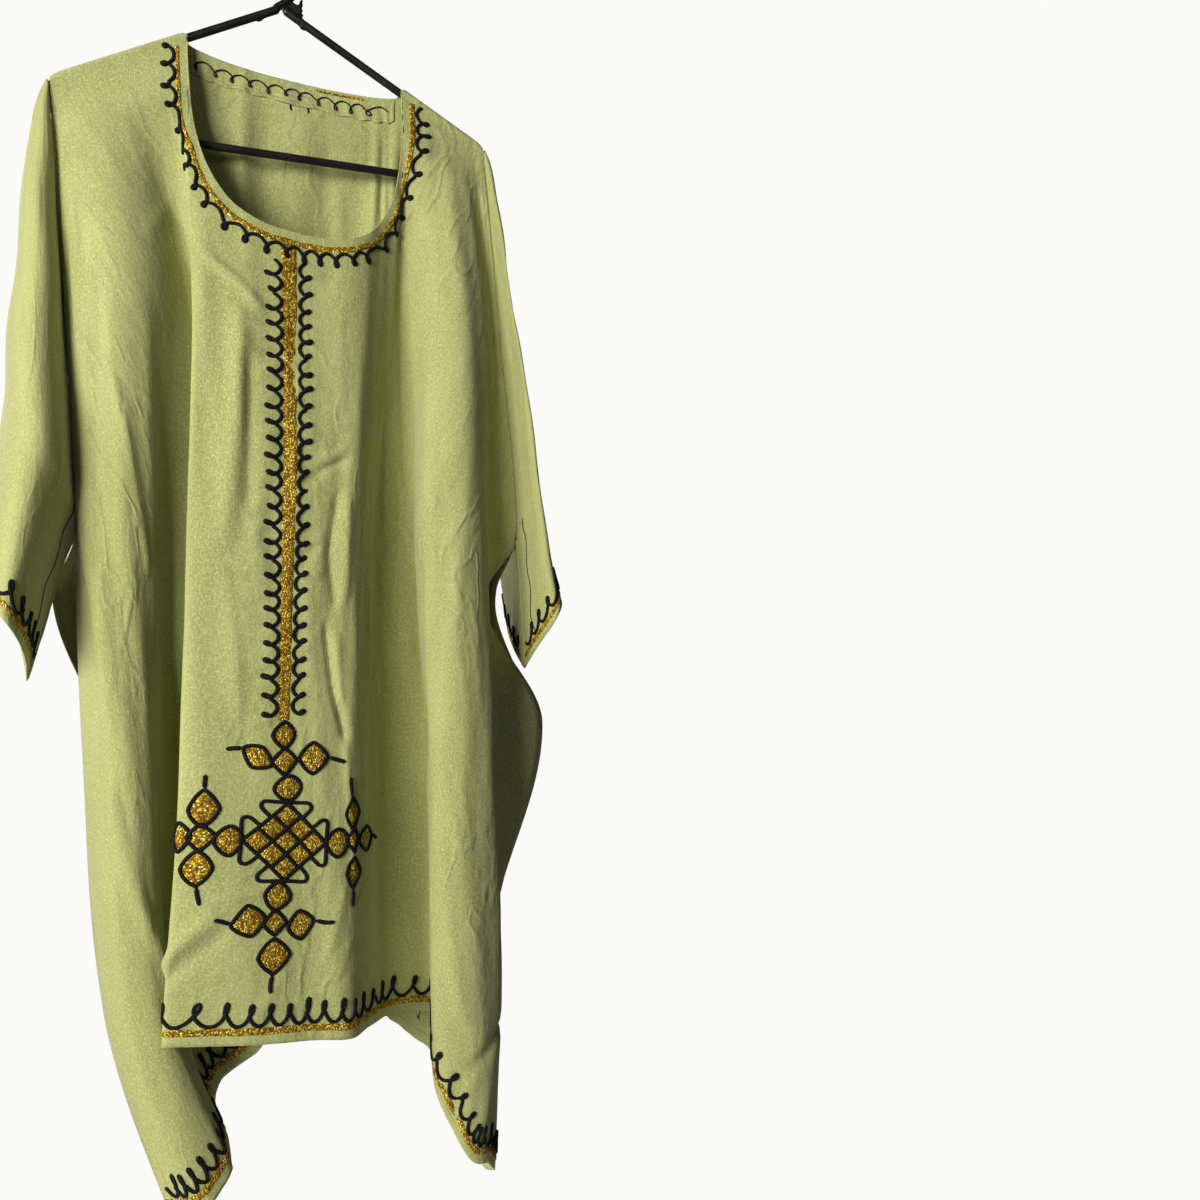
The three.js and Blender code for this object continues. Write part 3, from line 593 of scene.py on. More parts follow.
# Sage cotton: a fine sheer weave with slubs, faded patches, small wrinkles and a stitched turn at each hem. The
# stitches lie at stitchIn, in metres from the edge
clothLook = {"base": (0.46, 0.485, 0.187, 1), "dark": (0.31, 0.333, 0.105, 1), "pale": (0.64, 0.665, 0.30, 1),
             "stitchIn": 0.0112}


def clothMaterial(name):
    g = Graph(name)
    uv = g.uvMap("flat")
    weft = g.clothNoise(uv, 190, 1500, 2.0, 0.6)
    warp = g.clothNoise(uv, 1500, 190, 2.0, 0.6)
    grain = g.clothNoise(uv, 560, 430, 3.0, 0.7)
    slubs = g.clothNoise(uv, 520, 90, 3.0, 0.6)
    patches = g.clothNoise(uv, 9, 5, 3.0, 0.55)
    weave = (weft + warp) * 0.28 + grain * 0.44
    dark, pale = clothLook["dark"], clothLook["pale"]
    colour = g.blend(g.ramp(weave, 0.4, 0.6), dark, clothLook["base"])
    colour = g.blend(g.ramp(grain, 0.5, 0.72, 0.0, 0.8), colour, pale)
    colour = g.blend(g.ramp(slubs, 0.54, 0.74, 0.0, 0.5), colour, pale)
    colour = g.blend(g.ramp(patches, 0.35, 0.7, 0.0, 0.25), colour, pale)
    edge = g.math("MINIMUM", *g.split(g.uvMap("edges")))
    seam = g.ramp(g.math("ABSOLUTE", edge - clothLook["stitchIn"]), 0.0004, 0.0012, 1.0, 0.0)
    fold = g.ramp(edge, 0.0105, 0.0125, 1.0, 0.0)
    colour = g.blend(seam * 0.5, colour, dark)
    # Wrinkles: a soft crumple all over, and sharper lines where the cloth was worn
    crumple = g.clothNoise(uv, 34, 22, 4.0, 0.6)
    lines = g.math("ABSOLUTE", g.clothNoise(uv, 13, 8, 2.5, 0.6) - 0.5)
    worn = g.ramp(g.clothNoise(uv, 7, 4, 1.0, 0.5), 0.42, 0.62)
    normal = g.bump(crumple, 0.4, 0.005)
    normal = g.bump(g.ramp(lines, 0.0, 0.045, 1.0, 0.0) * worn, 0.32, 0.0025, normal)
    normal = g.bump(weave * 0.6 + slubs * 0.3 + fold * 0.9 - seam * 0.5, 0.6, 0.0008, normal)
    return g.finish(colour=colour, rough=0.86, normal=normal, sheen=0.25, sheenRough=0.5, specular=0.25)


# Gold thread: grains that each catch the light in their own way, painted into the colour as a highlight that
# differs from grain to grain and a painted glint on the brightest, with painted shade darkening the gaps between
# them
goldLook = {"dull": (0.22, 0.11, 0.003, 1), "bright": (0.80, 0.50, 0.008, 1), "paintedGlint": (1.0, 0.86, 0.20, 1),
            "paintedGapShade": (0.12, 0.055, 0.002, 1), "grains": 640.0}


def goldMaterial(name):
    g = Graph(name)
    inputs = {"Vector": g.uvMap("flat"), "Scale": goldLook["grains"]}
    grains = g.node("ShaderNodeTexVoronoi", {"feature": "F1"}, inputs)
    cell = g.split(Value(g, grains.outputs["Color"]))[0]
    distance = Value(g, grains.outputs["Distance"])
    # Painted highlights on the brighter grains and a painted glint on the brightest; painted shade in the gaps
    # between grains
    colour = g.blend(g.ramp(cell, 0.25, 0.8), goldLook["dull"], goldLook["bright"])
    colour = g.blend(g.ramp(cell, 0.72, 0.95), colour, goldLook["paintedGlint"])
    colour = g.blend(g.ramp(distance, 0.4, 0.8, 0.0, 0.7), colour, goldLook["paintedGapShade"])
    rough = g.ramp(cell, 0.0, 1.0, 0.6, 0.35)
    normal = g.bump(cell * 0.6 - distance, 0.9, 0.0009)
    return g.finish(colour=colour, rough=rough, metal=0.25, normal=normal, specular=0.3)


# Black cord with a twist that runs on round it, its colour lighter on the twist's ridges as a painted highlight and
# darker in its grooves as painted shade
cordLook = {"deep": (0.0016, 0.0016, 0.0024, 1), "high": (0.009, 0.009, 0.014, 1), "twist": 2600.0}


def cordMaterial(name):
    g = Graph(name)
    uv = g.uvMap("flat")
    along, around = g.split(uv)
    twist = g.math("SINE", along * cordLook["twist"] + around * 6.283)
    fuzz = g.clothNoise(uv, 900, 6)
    # Painted highlight on the twist's ridges, painted shade in its grooves
    colour = g.blend(g.ramp(twist, -0.6, 1.0), cordLook["deep"], cordLook["high"])
    normal = g.bump(twist * 0.5 + fuzz * 0.4, 0.7, 0.0005)
    return g.finish(colour=colour, rough=0.7, normal=normal, specular=0.22)


def plasticMaterial(name):
    g = Graph(name)
    place = g.read("ShaderNodeTexCoord", "Object")
    wear = g.noise(place, 55.0, 3.0)
    grain = g.noise(place, 900.0, 2.0)
    rough = g.ramp(wear, 0.3, 0.7, 0.3, 0.46)
    colour = g.blend(wear, (0.006, 0.006, 0.006, 1), (0.016, 0.015, 0.014, 1))
    return g.finish(colour=colour, rough=rough, normal=g.bump(grain, 0.12, 0.0002))


fabric = clothMaterial("sageCloth")
goldThread = goldMaterial("goldThread")
blackCord = cordMaterial("blackCord")
plastic = plasticMaterial("hangerPlastic")
print("materials made")


# Each piece goes with the dress and takes the place of the solids it dresses
def stand(piece, slot, *nodes):
    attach(piece, "root")
    if nodes:
        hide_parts(*nodes)
    return piece


# Panels. The counts are threads along the neckline, along an arm and down the crease below it, and rows
panelCounts = {"front": {"neck": 42, "arm": 14, "crease": 22, "rows": 262},
               "back": {"neck": 34, "arm": 12, "crease": 20, "rows": 190}}
panels = {}
for drape in (front, back):
    grid, uv = panelGrid(drape, panelCounts[drape.side])
    outward = Vector((0, drape.facing, 0))
    panels[drape.side] = gridObject(drape.side + "Panel", grid, uv, lambda _: outward, fabric, cloth["wall"])
    nodes = [drape.side + "_panel_" + part for part in ("left", "centre", "right")]
    stand(panels[drape.side], "cloth", *nodes)
print("panels hung")


# Sleeves: hollow cones from the hanger's end. place runs from -1, the front edge, over 0, the top fold, to 1, the
# back edge, and along down the cone
def sleeveRead(key, along, own=None):
    values = sleeveSections[key] if own is None else [pair[own] for pair in sleeveSections[key]]
    return through(sleeveSections["along"], values, along, True)


def sleevePlace(hand, place, along, lift=0.0):
    place, along = np.broadcast_arrays(np.asarray(place, float), np.asarray(along, float))
    shape = place.shape
    place, along = place.ravel(), along.ravel()

    def plain(place, along):
        own = 0 if hand < 0 else 1
        turn = np.pi * abs(place)
        inward = (1 - np.cos(turn)) / 2
        foldZ, seamZ = sleeveRead("foldZ", along), sleeveRead("seamZ", along)
        edge = np.full(along.shape, hand * cloth["halfWidth"], float)
        high = np.maximum(seamZ, sleeve["underarmZ"])
        panelEdge = np.where((place < 0)[:, None], front.plain(edge, high), back.plain(edge, high))
        parted = np.clip((sleeve["underarm"] + sleeve["letGo"] - along) / sleeve["letGo"], 0, 1)
        seamX = mix(sleeveRead("seam", along, own), abs(panelEdge[:, 0]) + sleeve["besidePanel"], parted)
        seamY = mix(sleeve["seamY"], abs(panelEdge[:, 1]), parted)
        bulge = np.where(place < 0, sleeveRead("front", along, own), sleeveRead("back", along, own))
        depth = bulge * np.sin(turn) + seamY * inward
        x = hand * mix(sleeveRead("fold", along, own), seamX, inward)
        return np.stack([x, np.where(place < 0, -1, 1) * depth, mix(foldZ, seamZ, place * place)], -1)

    step = 0.01
    flatPlace = np.clip(place, -1 + step, 1 - step)
    within = np.clip(along, sleeveSections["along"][0] + 1, sleeve["end"] - 1)
    around = plain(flatPlace + step, within) - plain(flatPlace - step, within)
    down = plain(flatPlace, within + 1) - plain(flatPlace, within - 1)
    out = np.cross(down, around) * hand
    out /= np.maximum(np.linalg.norm(out, axis=-1, keepdims=True), 1e-9)
    wave = np.sin(along / 31 + place * 3.1 + hand) * np.sin(along / 83 + 2.2 * place)
    sag = sleeve["sag"] * wave * smooth(along / 90)
    sag += sleeve["ripple"] * np.sin(along / 17 - place * 6.5) * smooth(along / 120)
    sag *= smooth((1 - abs(place)) * 8)
    return (plain(place, along) + out * (sag + lift)[:, None]).reshape(shape + (3,))


sleeves = {}
for name, hand in (("left", -1), ("right", 1)):
    along = np.concatenate([np.linspace(3, 34, 8), np.linspace(40, sleeve["end"], 78)])
    place = np.linspace(-1, 1, 97)
    grid = sleevePlace(hand, place[None, :], along[:, None])
    down = along[:, None]
    flat = np.stack(np.broadcast_arrays(place * sleeve["halfRound"], -down, sleeve["end"] - down, noHem), -1)
    middleX = hand * sleeve["middleX"] * mm
    sleeves[name] = gridObject("sleeve" + name.capitalize(), grid, flat,
                               lambda p: Vector((p.x - middleX, p.y, 0)), fabric, cloth["wall"])
    stand(sleeves[name], "cloth", "sleeve_" + name)
print("sleeves hung")


# Sewing. A rail is a line on the cloth with its own two measures: along it, and beside it into the cloth, mm
class Rail:
    def __init__(self, spot, length):
        self.spot = spot
        self.length = length

    def lifted(self, along, beside, lift):
        base = self.spot(along, beside, 0.0)
        up = self.spot(along, beside, 1.0) - base
        up /= np.maximum(np.linalg.norm(up, axis=-1, keepdims=True), 1e-9)
        return base + up * np.asarray(lift)[..., None], up


def railOnPanel(drape, points, inward):
    points = np.asarray(points, float)
    run = np.concatenate([[0], np.cumsum(np.hypot(*np.diff(points, axis=0).T))])
    tangent = np.gradient(points, run, axis=0)
    across = np.stack([-tangent[:, 1], tangent[:, 0]], -1) * inward
    across /= np.linalg.norm(across, axis=1, keepdims=True)

    def spot(along, beside, lift):
        u, z = (np.interp(along, run, points[:, k]) + beside * np.interp(along, run, across[:, k])
                for k in (0, 1))
        return drape.place(stationOf(u, z), z, lift)

    return Rail(spot, run[-1])


def neckRail(drape, turns):
    x, z = neckline(drape.side, turns)
    return railOnPanel(drape, np.stack([flatOf(drape.stationAtX(x, z), z), z], -1), 1)


def hemRail(drape):
    stations = np.linspace(-cloth["halfWidth"] + 3, cloth["halfWidth"] - 3, 600)
    hem = drape.hem(stations)
    return railOnPanel(drape, np.stack([flatOf(stations, hem), hem], -1), 1)


def cuffRail(hand):
    place = np.linspace(-0.985, 0.985, 400)
    edge = sleevePlace(hand, place, np.full(place.shape, sleeve["end"] - 8.0))
    run = np.concatenate([[0], np.cumsum(np.linalg.norm(np.diff(edge, axis=0), axis=1))])

    def spot(along, beside, lift):
        return sleevePlace(hand, np.interp(along, run, place), sleeve["end"] - beside, lift)

    return Rail(spot, run[-1])


def bandRail(hand):
    z = np.linspace(placket["topZ"] + 3, placket["endZ"] + 4, 300)
    down = (placket["topZ"] - z) / (placket["topZ"] - placket["endZ"])
    half = mix(placket["topWidth"], placket["endWidth"], down) / 2
    return railOnPanel(front, np.stack([hand * half, z], -1), hand)


rails = {
    "neckFront": neckRail(front, np.linspace(0.02, np.pi - 0.02, 400)),
    "neckBack": neckRail(back, np.linspace(0.1, np.pi - 0.1, 200)),
    "hemFront": hemRail(front),
    "hemBack": hemRail(back),
    "cuffLeft": cuffRail(-1),
    "cuffRight": cuffRail(1),
    "bandLeft": bandRail(-1),
    "bandRight": bandRail(1),
}


# A strip of couched gold thread, domed across, a little ragged and sunk into the cloth
strip = {"columns": 7, "rowLength": 4, "ragged": 0.035, "sunk": 0.15}


def goldStrip(name, rail, low, high, node, width=7.0):
    shape = (max(8, int(rail.length / strip["rowLength"])), strip["columns"])
    along = np.linspace(0, rail.length, shape[0])[:, None] * np.ones(shape)
    t = np.linspace(0, 1, shape[1])[None, :] * np.ones(shape)
    beside = mix(low, high, t) + strip["ragged"] * (high - low) * np.sin(along / 5 + 9 * t) * (2 * t - 1)
    lift = onCloth - strip["sunk"] + braid["thick"] * np.sqrt(np.maximum(0, 1 - (2 * t - 1) ** 4))
    grid, up = rail.lifted(along.ravel(), beside.ravel(), lift.ravel())
    flat = np.stack([along, t * width, along, t * width], -1)
    piece = gridObject(name, grid.reshape(*shape, 3), flat, None, goldThread, facing=up.reshape(*shape, 3))
    return stand(piece, "gold_braid", *([node] if node else []))


# Round cords through points with their outward directions, joined in one piece
def cordObject(name, runs, radius, material, slot, sides=6, press=0.8):
    bm = bmesh.new()
    cordMap = bm.loops.layers.uv.new("flat")
    for points, up, scale in runs:
        tangent = np.gradient(points, axis=0)
        tangent /= np.maximum(np.linalg.norm(tangent, axis=1, keepdims=True), 1e-9)
        across = np.cross(tangent, up)
        across /= np.maximum(np.linalg.norm(across, axis=1, keepdims=True), 1e-9)
        over = np.cross(across, tangent)
        run = np.concatenate([[0], np.cumsum(np.linalg.norm(np.diff(points, axis=0), axis=1))])
        end = np.minimum(run, run[-1] - run) / radius
        thick = radius * scale * np.sqrt(np.clip(1 - (1 - np.minimum(end, 1)) ** 2, 0.02, 1))
        turn = np.linspace(0, 2 * np.pi, sides + 1)[:, None]
        ring = np.cos(turn) * across[:, None] + press * np.sin(turn) * over[:, None]
        cell = layGrid(bm, points[:, None] + thick[:, None, None] * ring)
        flat = np.stack(np.broadcast_arrays(run[:, None] * mm, np.arange(sides + 1) / sides), -1)
        mapFaces(cell, [cordMap], flat)
    bmesh.ops.remove_doubles(bm, verts=bm.verts, dist=weldGap)
    bmesh.ops.recalc_face_normals(bm, faces=bm.faces)
    return stand(objectFrom(name, bm, material), slot)


# Radii and lifts of cord and thread, mm, and how much the loops vary in length and shift along
stitch = {"cordR": 1.75, "threadR": 0.62, "underarmR": 0.6, "lift": 0.7, "motifLift": 0.75, "vary": 0.14,
          "shift": 0.07}
# Blanket-like stitch: shallow arcs that touch the gold, with a narrow loop out of the cloth side of each joint.
# Along and beside, in parts of the pitch and the depth; past loopFoot the loops vary in length
loopFoot = 0.95
loop = [(0.0, 0.95), (0.10, 0.62), (0.24, 0.26), (0.40, 0.05), (0.56, 0.03), (0.72, 0.2), (0.86, 0.52),
        (0.95, 0.9), (1.02, 1.35), (1.0, 1.8), (0.93, 1.98), (0.87, 1.8), (0.9, 1.4), (0.97, 1.08)]


def scallops(rail, pitch, start, deep, trim, lean):
    length = rail.length - sum(trim)
    count = max(1, round(length / pitch))
    step = length / count
    knots = []
    reach = 1 + stitch["vary"] * rng.standard_normal(count + 1)
    shift = stitch["shift"] * rng.standard_normal(count + 1)
    for k in range(count):
        for a, b in loop:
            tail = max(0.0, b - loopFoot)
            body = min(b, loopFoot)
            own = mix(reach[k], reach[k + 1], a)
            knots.append((trim[0] + step * (k + a + shift[k] + lean * tail), start + deep * (body + tail * own)))
    along, beside = smoothPath(np.array(knots), 2)
    along = np.clip(along, 0.5, rail.length - 0.5)
    return rail.lifted(along, beside, onCloth + stitch["lift"])


# A path through knots, each gap cut in some parts
def smoothPath(knots, parts):
    at = np.linspace(0, len(knots) - 1, (len(knots) - 1) * parts + 1)
    path = through(np.arange(len(knots)), knots[:, 0], at), through(np.arange(len(knots)), knots[:, 1], at)
    return [np.ravel(p) for p in path]


# Cords by piece: rail, pitch, start and depth beside it, what is left free at its ends, and the loops' lean
cords = {
    "neckCord": [("neckFront", 18.0, 15.4, 6.4, (3, 3), 0.0)],
    "bandCord": [("bandLeft", 15.6, 2.2, 7.6, (14, 2), -0.1), ("bandRight", 15.6, 2.2, 6.8, (14, 2), -0.1)],
    "hemFrontCord": [("hemFront", 21, 16.6, 9.6, (6, 6), 0.1)],
    "hemBackCord": [("hemBack", 21, 16.6, 9.6, (6, 6), 0.1)],
    "cuffLeftCord": [("cuffLeft", 21, 15.6, 8.8, (6, 6), 0.1)],
    "cuffRightCord": [("cuffRight", 21, 15.6, 8.8, (6, 6), 0.1)],
    "neckBackCord": [("neckBack", 18.0, 15.4, 6.4, (3, 3), 0.0)],
}
for name, rows in cords.items():
    runs = [(*scallops(rails[key], *row), 1.0) for key, *row in rows]
    cordObject(name, runs, stitch["cordR"], blackCord, "cloth")

for garmentEdge, start, width in (("neck", braid["fromEdge"], braid["width"]),
                                  ("hem", braid["hemFromEdge"], braid["hemWidth"])):
    for side in ("Front", "Back"):
        goldStrip(garmentEdge + "Gold" + side, rails[garmentEdge + side], start, start + width,
                  f"{garmentEdge}_braid_{side.lower()}")
for hand in ("Left", "Right"):
    goldStrip("cuffGold" + hand, rails["cuff" + hand], braid["cuffFromEdge"],
              braid["cuffFromEdge"] + braid["hemWidth"], "cuff_braid_" + hand.lower())

bandZ = np.linspace(placket["topZ"] + 8, placket["endZ"], 200)
bandRailMiddle = railOnPanel(front, np.stack([np.zeros(200), bandZ], -1), 1)
halfTop, halfEnd = placket["topWidth"] / 2, placket["endWidth"] / 2


def bandSpot(along, beside, lift):
    wide = mix(halfTop, halfEnd, along / bandRailMiddle.length)
    return bandRailMiddle.spot(along, beside * wide, lift)


goldStrip("bandGold", Rail(bandSpot, bandRailMiddle.length), -1.13, 1.13, "front_band", placket["topWidth"])
print("edges embroidered")

# The medallion: gold shapes outlined in cord. at, centre on the flat cloth; half, half sizes; round, from 1, a
# diamond, to 2, an oval; turn, degrees, if any; tail, the end of the cord that runs on from its tip, if any
shapes = [
    {"at": (0, -788.5), "half": (12.2, 11.8), "round": 1.45},
    {"at": (1, -812.5), "half": (14.0, 12.2), "round": 1.12},
    {"at": (-27, -807), "half": (16.5, 10.0), "round": 1.35, "turn": -32, "tail": (-56, -798.5)},
    {"at": (35, -811), "half": (18.0, 14.3), "round": 1.3, "tail": (81, -817)},
    {"at": (6, -837), "half": (15.0, 11.4), "round": 1.6},
    {"at": (-50, -879.6), "half": (11.5, 13.0), "round": 1.6},
    {"at": (-70, -875), "half": (10.0, 11.8), "round": 1.12},
    {"at": (-69, -850), "half": (10.5, 16.0), "round": 1.35, "tail": (-68.6, -820)},
    {"at": (-72, -902), "half": (11.0, 15.0), "round": 1.4, "tail": (-68, -935)},
    {"at": (-87, -874), "half": (10.5, 12.6), "round": 1.5, "tail": (-106, -875)},
    {"at": (71, -891), "half": (16.0, 12.8), "round": 1.6},
    {"at": (95, -890), "half": (10.0, 12.0), "round": 1.12},
    {"at": (94, -866), "half": (11.0, 15.0), "round": 1.35, "tail": (88, -831)},
    {"at": (96.5, -921), "half": (12.0, 14.0), "round": 1.35, "tail": (95, -953)},
    {"at": (122, -893), "half": (17.0, 11.5), "round": 1.4, "tail": (160, -899)},
    {"at": (-2, -933.5), "half": (14.2, 12.4), "round": 1.5, "turn": -12},
    {"at": (-4, -957), "half": (12.4, 11.4), "round": 1.12},
    {"at": (-30, -953), "half": (16.0, 14.0), "round": 1.3, "turn": 8, "tail": (-59, -948)},
    {"at": (26, -962), "half": (16.0, 13.0), "round": 1.35, "turn": 8, "tail": (69, -963)},
    {"at": (-4, -987), "half": (17.0, 15.5), "round": 1.3, "tail": (-7, -1020)},
]
lattice = {"top": (5.7, -850.5), "right": (53.7, -890.0), "bottom": (3.9, -920.0), "left": (-39.3, -880.2),
           "cells": 3}


def onFront(points, lift):
    points = np.asarray(points, float)
    station = stationOf(points[:, 0], points[:, 1])
    base = front.place(station, points[:, 1], 0.0)
    up = front.place(station, points[:, 1], 1.0) - base
    return base + up * np.broadcast_to(lift, len(points))[:, None], up


goldMesh = bmesh.new()
goldMap = goldMesh.loops.layers.uv.new("flat")
motifCords = []


# Gold stitches inside an outline, domed from its edge to its middle
def addPatch(outline):
    centre = outline.mean(axis=0)
    reach = np.linspace(1.0, 0.0, 7)
    around = np.vstack([outline, outline[:1]])
    flat = centre + (around - centre)[None] * reach[:, None, None]
    lift = onCloth - 0.1 + 1.0 * (1 - reach ** 3)[:, None] * np.ones(len(around))
    grid, _ = onFront(flat.reshape(-1, 2), lift.ravel())
    mapFaces(layGrid(goldMesh, grid.reshape(flat.shape[:2] + (3,))), [goldMap], flat * mm)


def addCord(points, thick=1.0):
    motifCords.append((*onFront(points, onCloth + stitch["motifLift"]), thick))


for shape in shapes:
    angle = np.linspace(0, 2 * np.pi, 37)[:-1]
    power = 2 / shape["round"]
    local = np.stack([shape["half"][0] * np.sign(np.cos(angle)) * abs(np.cos(angle)) ** power,
                      shape["half"][1] * np.sign(np.sin(angle)) * abs(np.sin(angle)) ** power], -1)
    local *= 1 + 0.03 * np.sin(3 * angle + rng.uniform(0, 6))[:, None]
    turn = math.radians(shape.get("turn", 0))
    spin = np.array([[math.cos(turn), math.sin(turn)], [-math.sin(turn), math.cos(turn)]])
    outline = np.array(shape["at"]) + local @ spin
    addPatch(outline)
    if "tail" in shape:
        tip = np.array(shape["tail"], float)
        first = int(np.argmin(np.hypot(*(outline - tip).T)))
        outline[first] = mix(outline[first], tip, 0.12)
        outline = np.roll(outline, -first, axis=0)
        away = tip - outline[0]
        side = np.array([-away[1], away[0]]) * rng.uniform(-0.08, 0.08)
        bend = [outline[0] + away * t + side * math.sin(math.pi * t) for t in np.linspace(0, 1, 9)]
        addCord(bend, 1.15)
    addCord(np.vstack([outline, outline[:2]]))

corner = {key: np.array(lattice[key]) for key in ("top", "right", "bottom", "left")}
cells = lattice["cells"]


def onLattice(s, t):
    return mix(mix(corner["top"], corner["right"], s), mix(corner["left"], corner["bottom"], s), t)


for i in range(cells):
    for j in range(cells):
        low = np.array([i, j]) / cells
        ring = [(0, 0), (1, 0), (1, 1), (0, 1)]
        outline = []
        for (a, b), (c, d) in zip(ring, ring[1:] + ring[:1]):
            for f in np.linspace(0, 1, 6)[:-1]:
                outline.append(onLattice(*(low + np.array([mix(a, c, f), mix(b, d, f)]) / cells)))
        addPatch(np.array(outline))
for k in range(cells + 1):
    addCord([onLattice(k / cells, t) for t in np.linspace(-0.01, 1.01, 24)])
    addCord([onLattice(t, k / cells) for t in np.linspace(-0.01, 1.01, 24)])
# Loops past the lattice's four corners, each from one side round to the other: across the corner, and inward
lobe = [(-0.72, 0.34), (-1.02, 0.13), (-0.93, -0.02), (-0.4, -0.02), (0, -0.02), (0.4, -0.02), (0.93, -0.02),
        (1.02, 0.13), (0.72, 0.34)]
middle = sum(corner.values()) / 4
for key, before, after in (("top", "left", "right"), ("right", "top", "bottom"), ("bottom", "right", "left"),
                           ("left", "bottom", "top")):
    tip = corner[key]
    wide = (corner[after] - corner[before]) * 0.29
    inward = middle - tip
    ends = [mix(tip, corner[other], 0.42) for other in (before, after)]
    knots = [ends[0], *(tip + wide * across + inward * deep for across, deep in lobe), ends[1]]
    addCord(np.stack(smoothPath(np.array(knots), 4), -1))

bmesh.ops.remove_doubles(goldMesh, verts=goldMesh.verts, dist=weldGap)
goldMesh.normal_update()
if sum(face.normal.y * face.calc_area() for face in goldMesh.faces) > 0:
    bmesh.ops.reverse_faces(goldMesh, faces=goldMesh.faces)
stand(objectFrom("medallionGold", goldMesh, goldThread), "gold_braid")
cordObject("medallionCord", motifCords, stitch["cordR"], blackCord, "cloth")
print("medallion embroidered")


# The inside facing of the back neck, with the wrong side of the embroidery on it, mm
facingCut = {"wall": 0.6, "behind": 0.9, "ragged": 0.9, "wavy": 0.5, "roundR": 78}
turns = np.linspace(0.33, np.pi - 0.33, 150)
down = np.array([1.0, 2.0, 5.0, 9.0, 13.0, 17.0, 20.0, 22.0, neck["facing"]])
x, z = neckline("back", turns)
inside = -(onCloth + facingCut["behind"])
rows = []
for d in down:
    share = d / neck["facing"]
    low = z - d + facingCut["ragged"] * np.sin(turns * 23) * share
    depth = inside - facingCut["wavy"] * np.sin(turns * 31 + d / 6) * share
    rows.append(back.place(back.stationAtX(x, low), low, depth))
fromEdge = down[::-1][:, None] + 6
facingMap = np.stack(np.broadcast_arrays(turns * facingCut["roundR"], -down[:, None], fromEdge, noHem), -1)
facing = gridObject("neckFacing", np.array(rows), facingMap, lambda _: Vector((0, -1, 0)), fabric,
                    facingCut["wall"])
stand(facing, "cloth", "neck_facing")


# The same rail on the inside of the cloth
def underLift(rail, depth):
    return Rail(lambda along, beside, lift: rail.spot(along, beside, depth - lift), rail.length)


wrongSide = underLift(rails["neckBack"], inside - 0.4)
points, up = scallops(wrongSide, 18.4, 8.5, 4.6, (12, 12), 0.0)
cordObject("facingThread", [(points, up, 1.0)], stitch["threadR"], blackCord, "cloth")
stretch = railOnPanel(back, np.stack([flatOf(back.stationAtX(x, z), z), z], -1)[40:70], 1)
goldStrip("facingGold", underLift(stretch, inside - 0.2), 2.4, 4.6, None, 2.4)


# Ridges of the underarm seams, folded edges side by side from the underarm to the cuff
ridge = {"rows": 60, "columns": 6, "high": 1.0, "wide": 0.022, "apart": 0.004}


def underarmRidges(name, hand):
    grids = []
    along = np.linspace(sleeve["underarm"] + 6, sleeve["end"] - 1, ridge["rows"])
    across = np.linspace(0, 1, ridge["columns"])
    for side in (-1, 1):
        place = side * (1 - (ridge["apart"] + ridge["wide"] * across))
        lift = onCloth + ridge["high"] * np.sqrt(np.maximum(0, 1 - (2 * across - 1) ** 4))
        lift = lift + 0.25 * np.sin(along / 6 + side)[:, None]
        grids.append(sleevePlace(hand, place, along[:, None], lift.ravel()))
    grid = np.concatenate([grids[0][:, ::-1], grids[1]], axis=1)
    flat = np.stack(np.broadcast_arrays(np.arange(grid.shape[1]) * 1.4, -along[:, None], noHem, noHem), -1)
    piece = gridObject(name, grid, flat, lambda _: Vector((-hand, 0, -0.3)), fabric, 0.5)
    return stand(piece, "cloth", "underarm_seam_" + ("left" if hand < 0 else "right"))


# Painted shadow: a dark cord along each underarm that stands for the shade in the gap between the seam's folded
# edges, in front of the ridge and a little uneven, and closer to it at the cuff
underarmShadowPlace = {"place": -0.86, "wander": 0.012, "atCuff": 0.02}


def underarmThread(name, hand):
    along = np.linspace(sleeve["underarm"] + 3, sleeve["end"] - 11, 80)
    place = underarmShadowPlace["place"] + underarmShadowPlace["wander"] * np.sin(along / 9)
    place = place + underarmShadowPlace["atCuff"] * smooth((along - sleeve["end"] + 60) / 50)
    on = sleevePlace(hand, place[:, None], along[:, None], onCloth + 0.2)[:, 0]
    out = sleevePlace(hand, place[:, None], along[:, None], onCloth + 2.2)[:, 0]
    up = (out - on) / np.linalg.norm(out - on, axis=1)[:, None]
    return cordObject(name, [(on, up, 1.0)], stitch["underarmR"], blackCord, "cloth")


for sew, name in ((underarmRidges, "underarmSeam"), (underarmThread, "underarmThread")):
    for side, hand in (("Left", -1), ("Right", 1)):
        sew(name + side, hand)
print("facing and seams made")


# Hanger, moulded in one and rounded where its parts meet
def armAt(x):
    return hanger["apexZ"] - hanger["slope"] * x


def polar(x, z, radius, degrees):
    return x + radius * math.cos(math.radians(degrees)), z + radius * math.sin(math.radians(degrees))


def sweep(knots, diameter, parts=14):
    x, z = smoothPath(np.array(knots, float), parts)
    points = np.stack([x, np.zeros_like(x), z], -1)
    return points, np.broadcast_to((0.0, -1.0, 0.0), points.shape), diameter


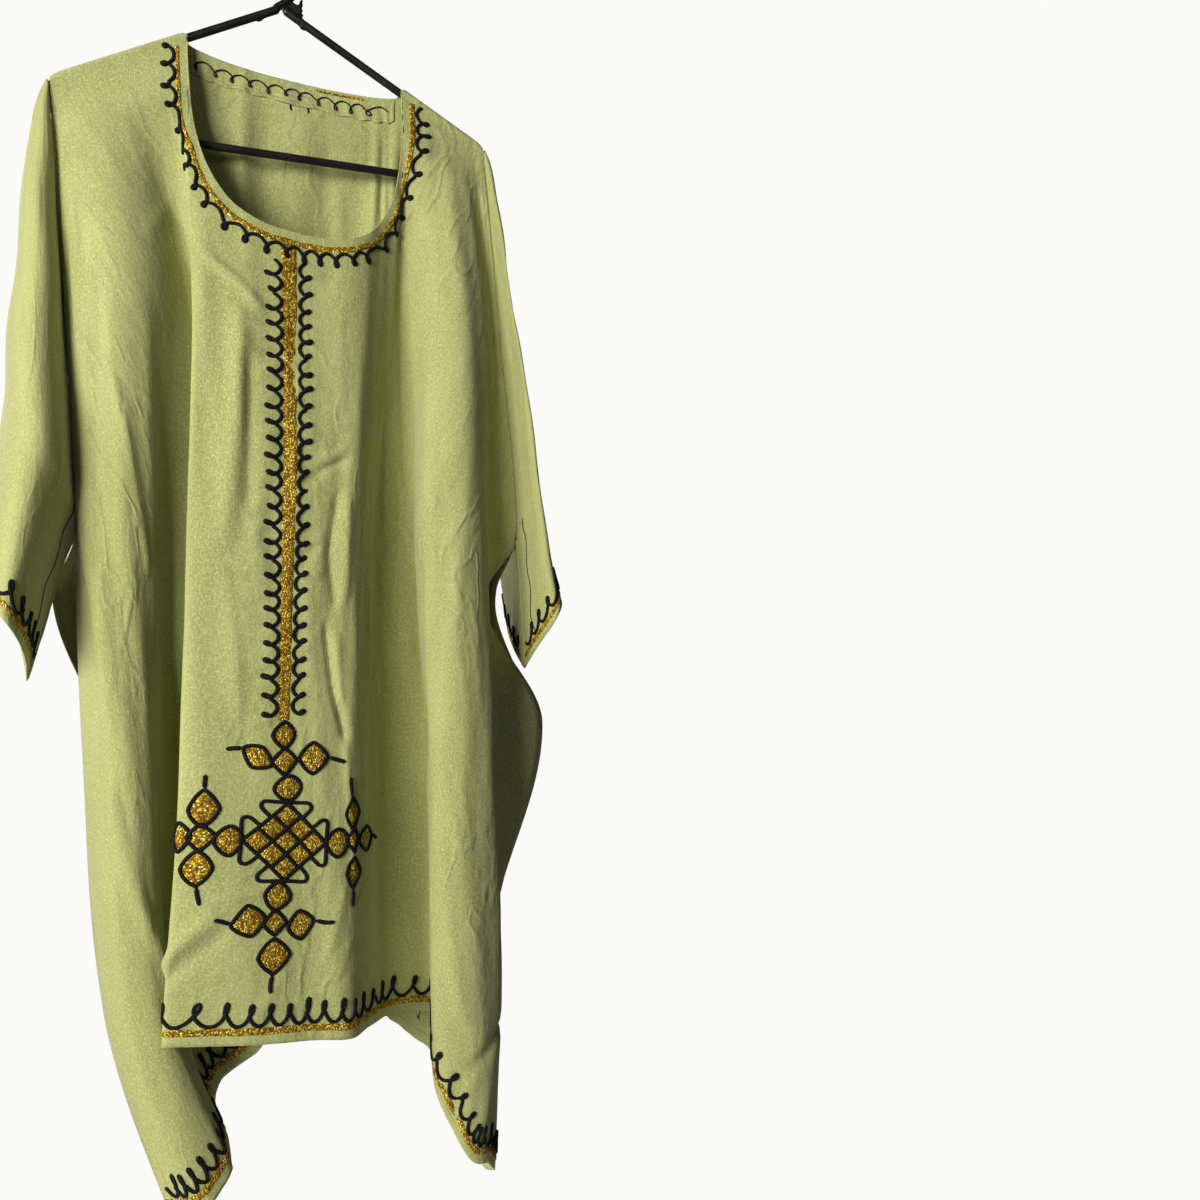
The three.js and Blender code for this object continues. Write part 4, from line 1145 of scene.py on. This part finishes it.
bendX = hanger["endX"] - hanger["bendR"]
arm = [(x, armAt(x)) for x in (0, 60, 120, 150)] + [(172, armAt(171))]
arm += [polar(bendX, hanger["bendZ"], hanger["bendR"], a) for a in (48, 22, -8, -38, -66)]
arm += [(bendX + 0.5, hanger["barZ"]), (bendX - 12, hanger["barZ"])]
hookZ = hanger["hookTube"] / 2 - hanger["hookR"]
hook = [(-7.5, -87), (4, -78), (14, -68), (20, -55)]
hook += [polar(0, hookZ, hanger["hookR"], a) for a in (-25, 10, 45, 80, 115, 150, 185, 203)]
bar = [(x, hanger["barZ"]) for x in (8 - bendX, 0, bendX - 8)]
nubs = [[(s * x, armAt(x) - drop) for x, drop in ((17, 2.8), (21, 3.2), (25, 2.8))] for s in (-1, 1)]
mouldings = [sweep(arm, hanger["tube"]), sweep([(-x, z) for x, z in arm], hanger["tube"]),
             sweep(bar, hanger["tube"], 40), sweep(hook, hanger["hookTube"])]
mouldings += [sweep(nub, hanger["nub"], 6) for nub in nubs]
for k in range(hanger["webRibs"]):
    rib = [(2 + 2 * k, -84 + 1.6 * k), (13 + k, -88 + 2 * k), (23 - k * 0.6, -94 + 5.6 * k)]
    mouldings.append(sweep(rib, hanger["rib"], 6))
runs = [(points, up, diameter / hanger["tube"]) for points, up, diameter in mouldings]
hangerPiece = cordObject("hangerMoulding", runs, hanger["tube"] / 2, plastic, "hanger_plastic", 20, 1.0)
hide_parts("hanger")
rounding = hangerPiece.modifiers.new("moulded", "REMESH")
rounding.mode = "VOXEL"
rounding.voxel_size = 1.0 * mm
rounding.use_smooth_shade = True
soften = hangerPiece.modifiers.new("soften", "SMOOTH")
soften.factor = 0.5
soften.iterations = 6
print("hanger made")
# A round pale floor below the hem, m
floorPlate = {"radius": 0.62, "z": -1.62, "low": (0.80, 0.79, 0.77, 1), "high": (0.84, 0.83, 0.81, 1)}
bm = bmesh.new()
bmesh.ops.create_circle(bm, cap_ends=True, segments=96, radius=floorPlate["radius"])
bmesh.ops.translate(bm, verts=bm.verts, vec=(0, 0, floorPlate["z"]))
g = Graph("paleFloor")
grain = g.noise(g.read("ShaderNodeTexCoord", "Object"), 3.0)
paleFloor = g.finish(colour=g.blend(grain, floorPlate["low"], floorPlate["high"]), rough=0.9)
floor = objectFrom("floor", bm, paleFloor)
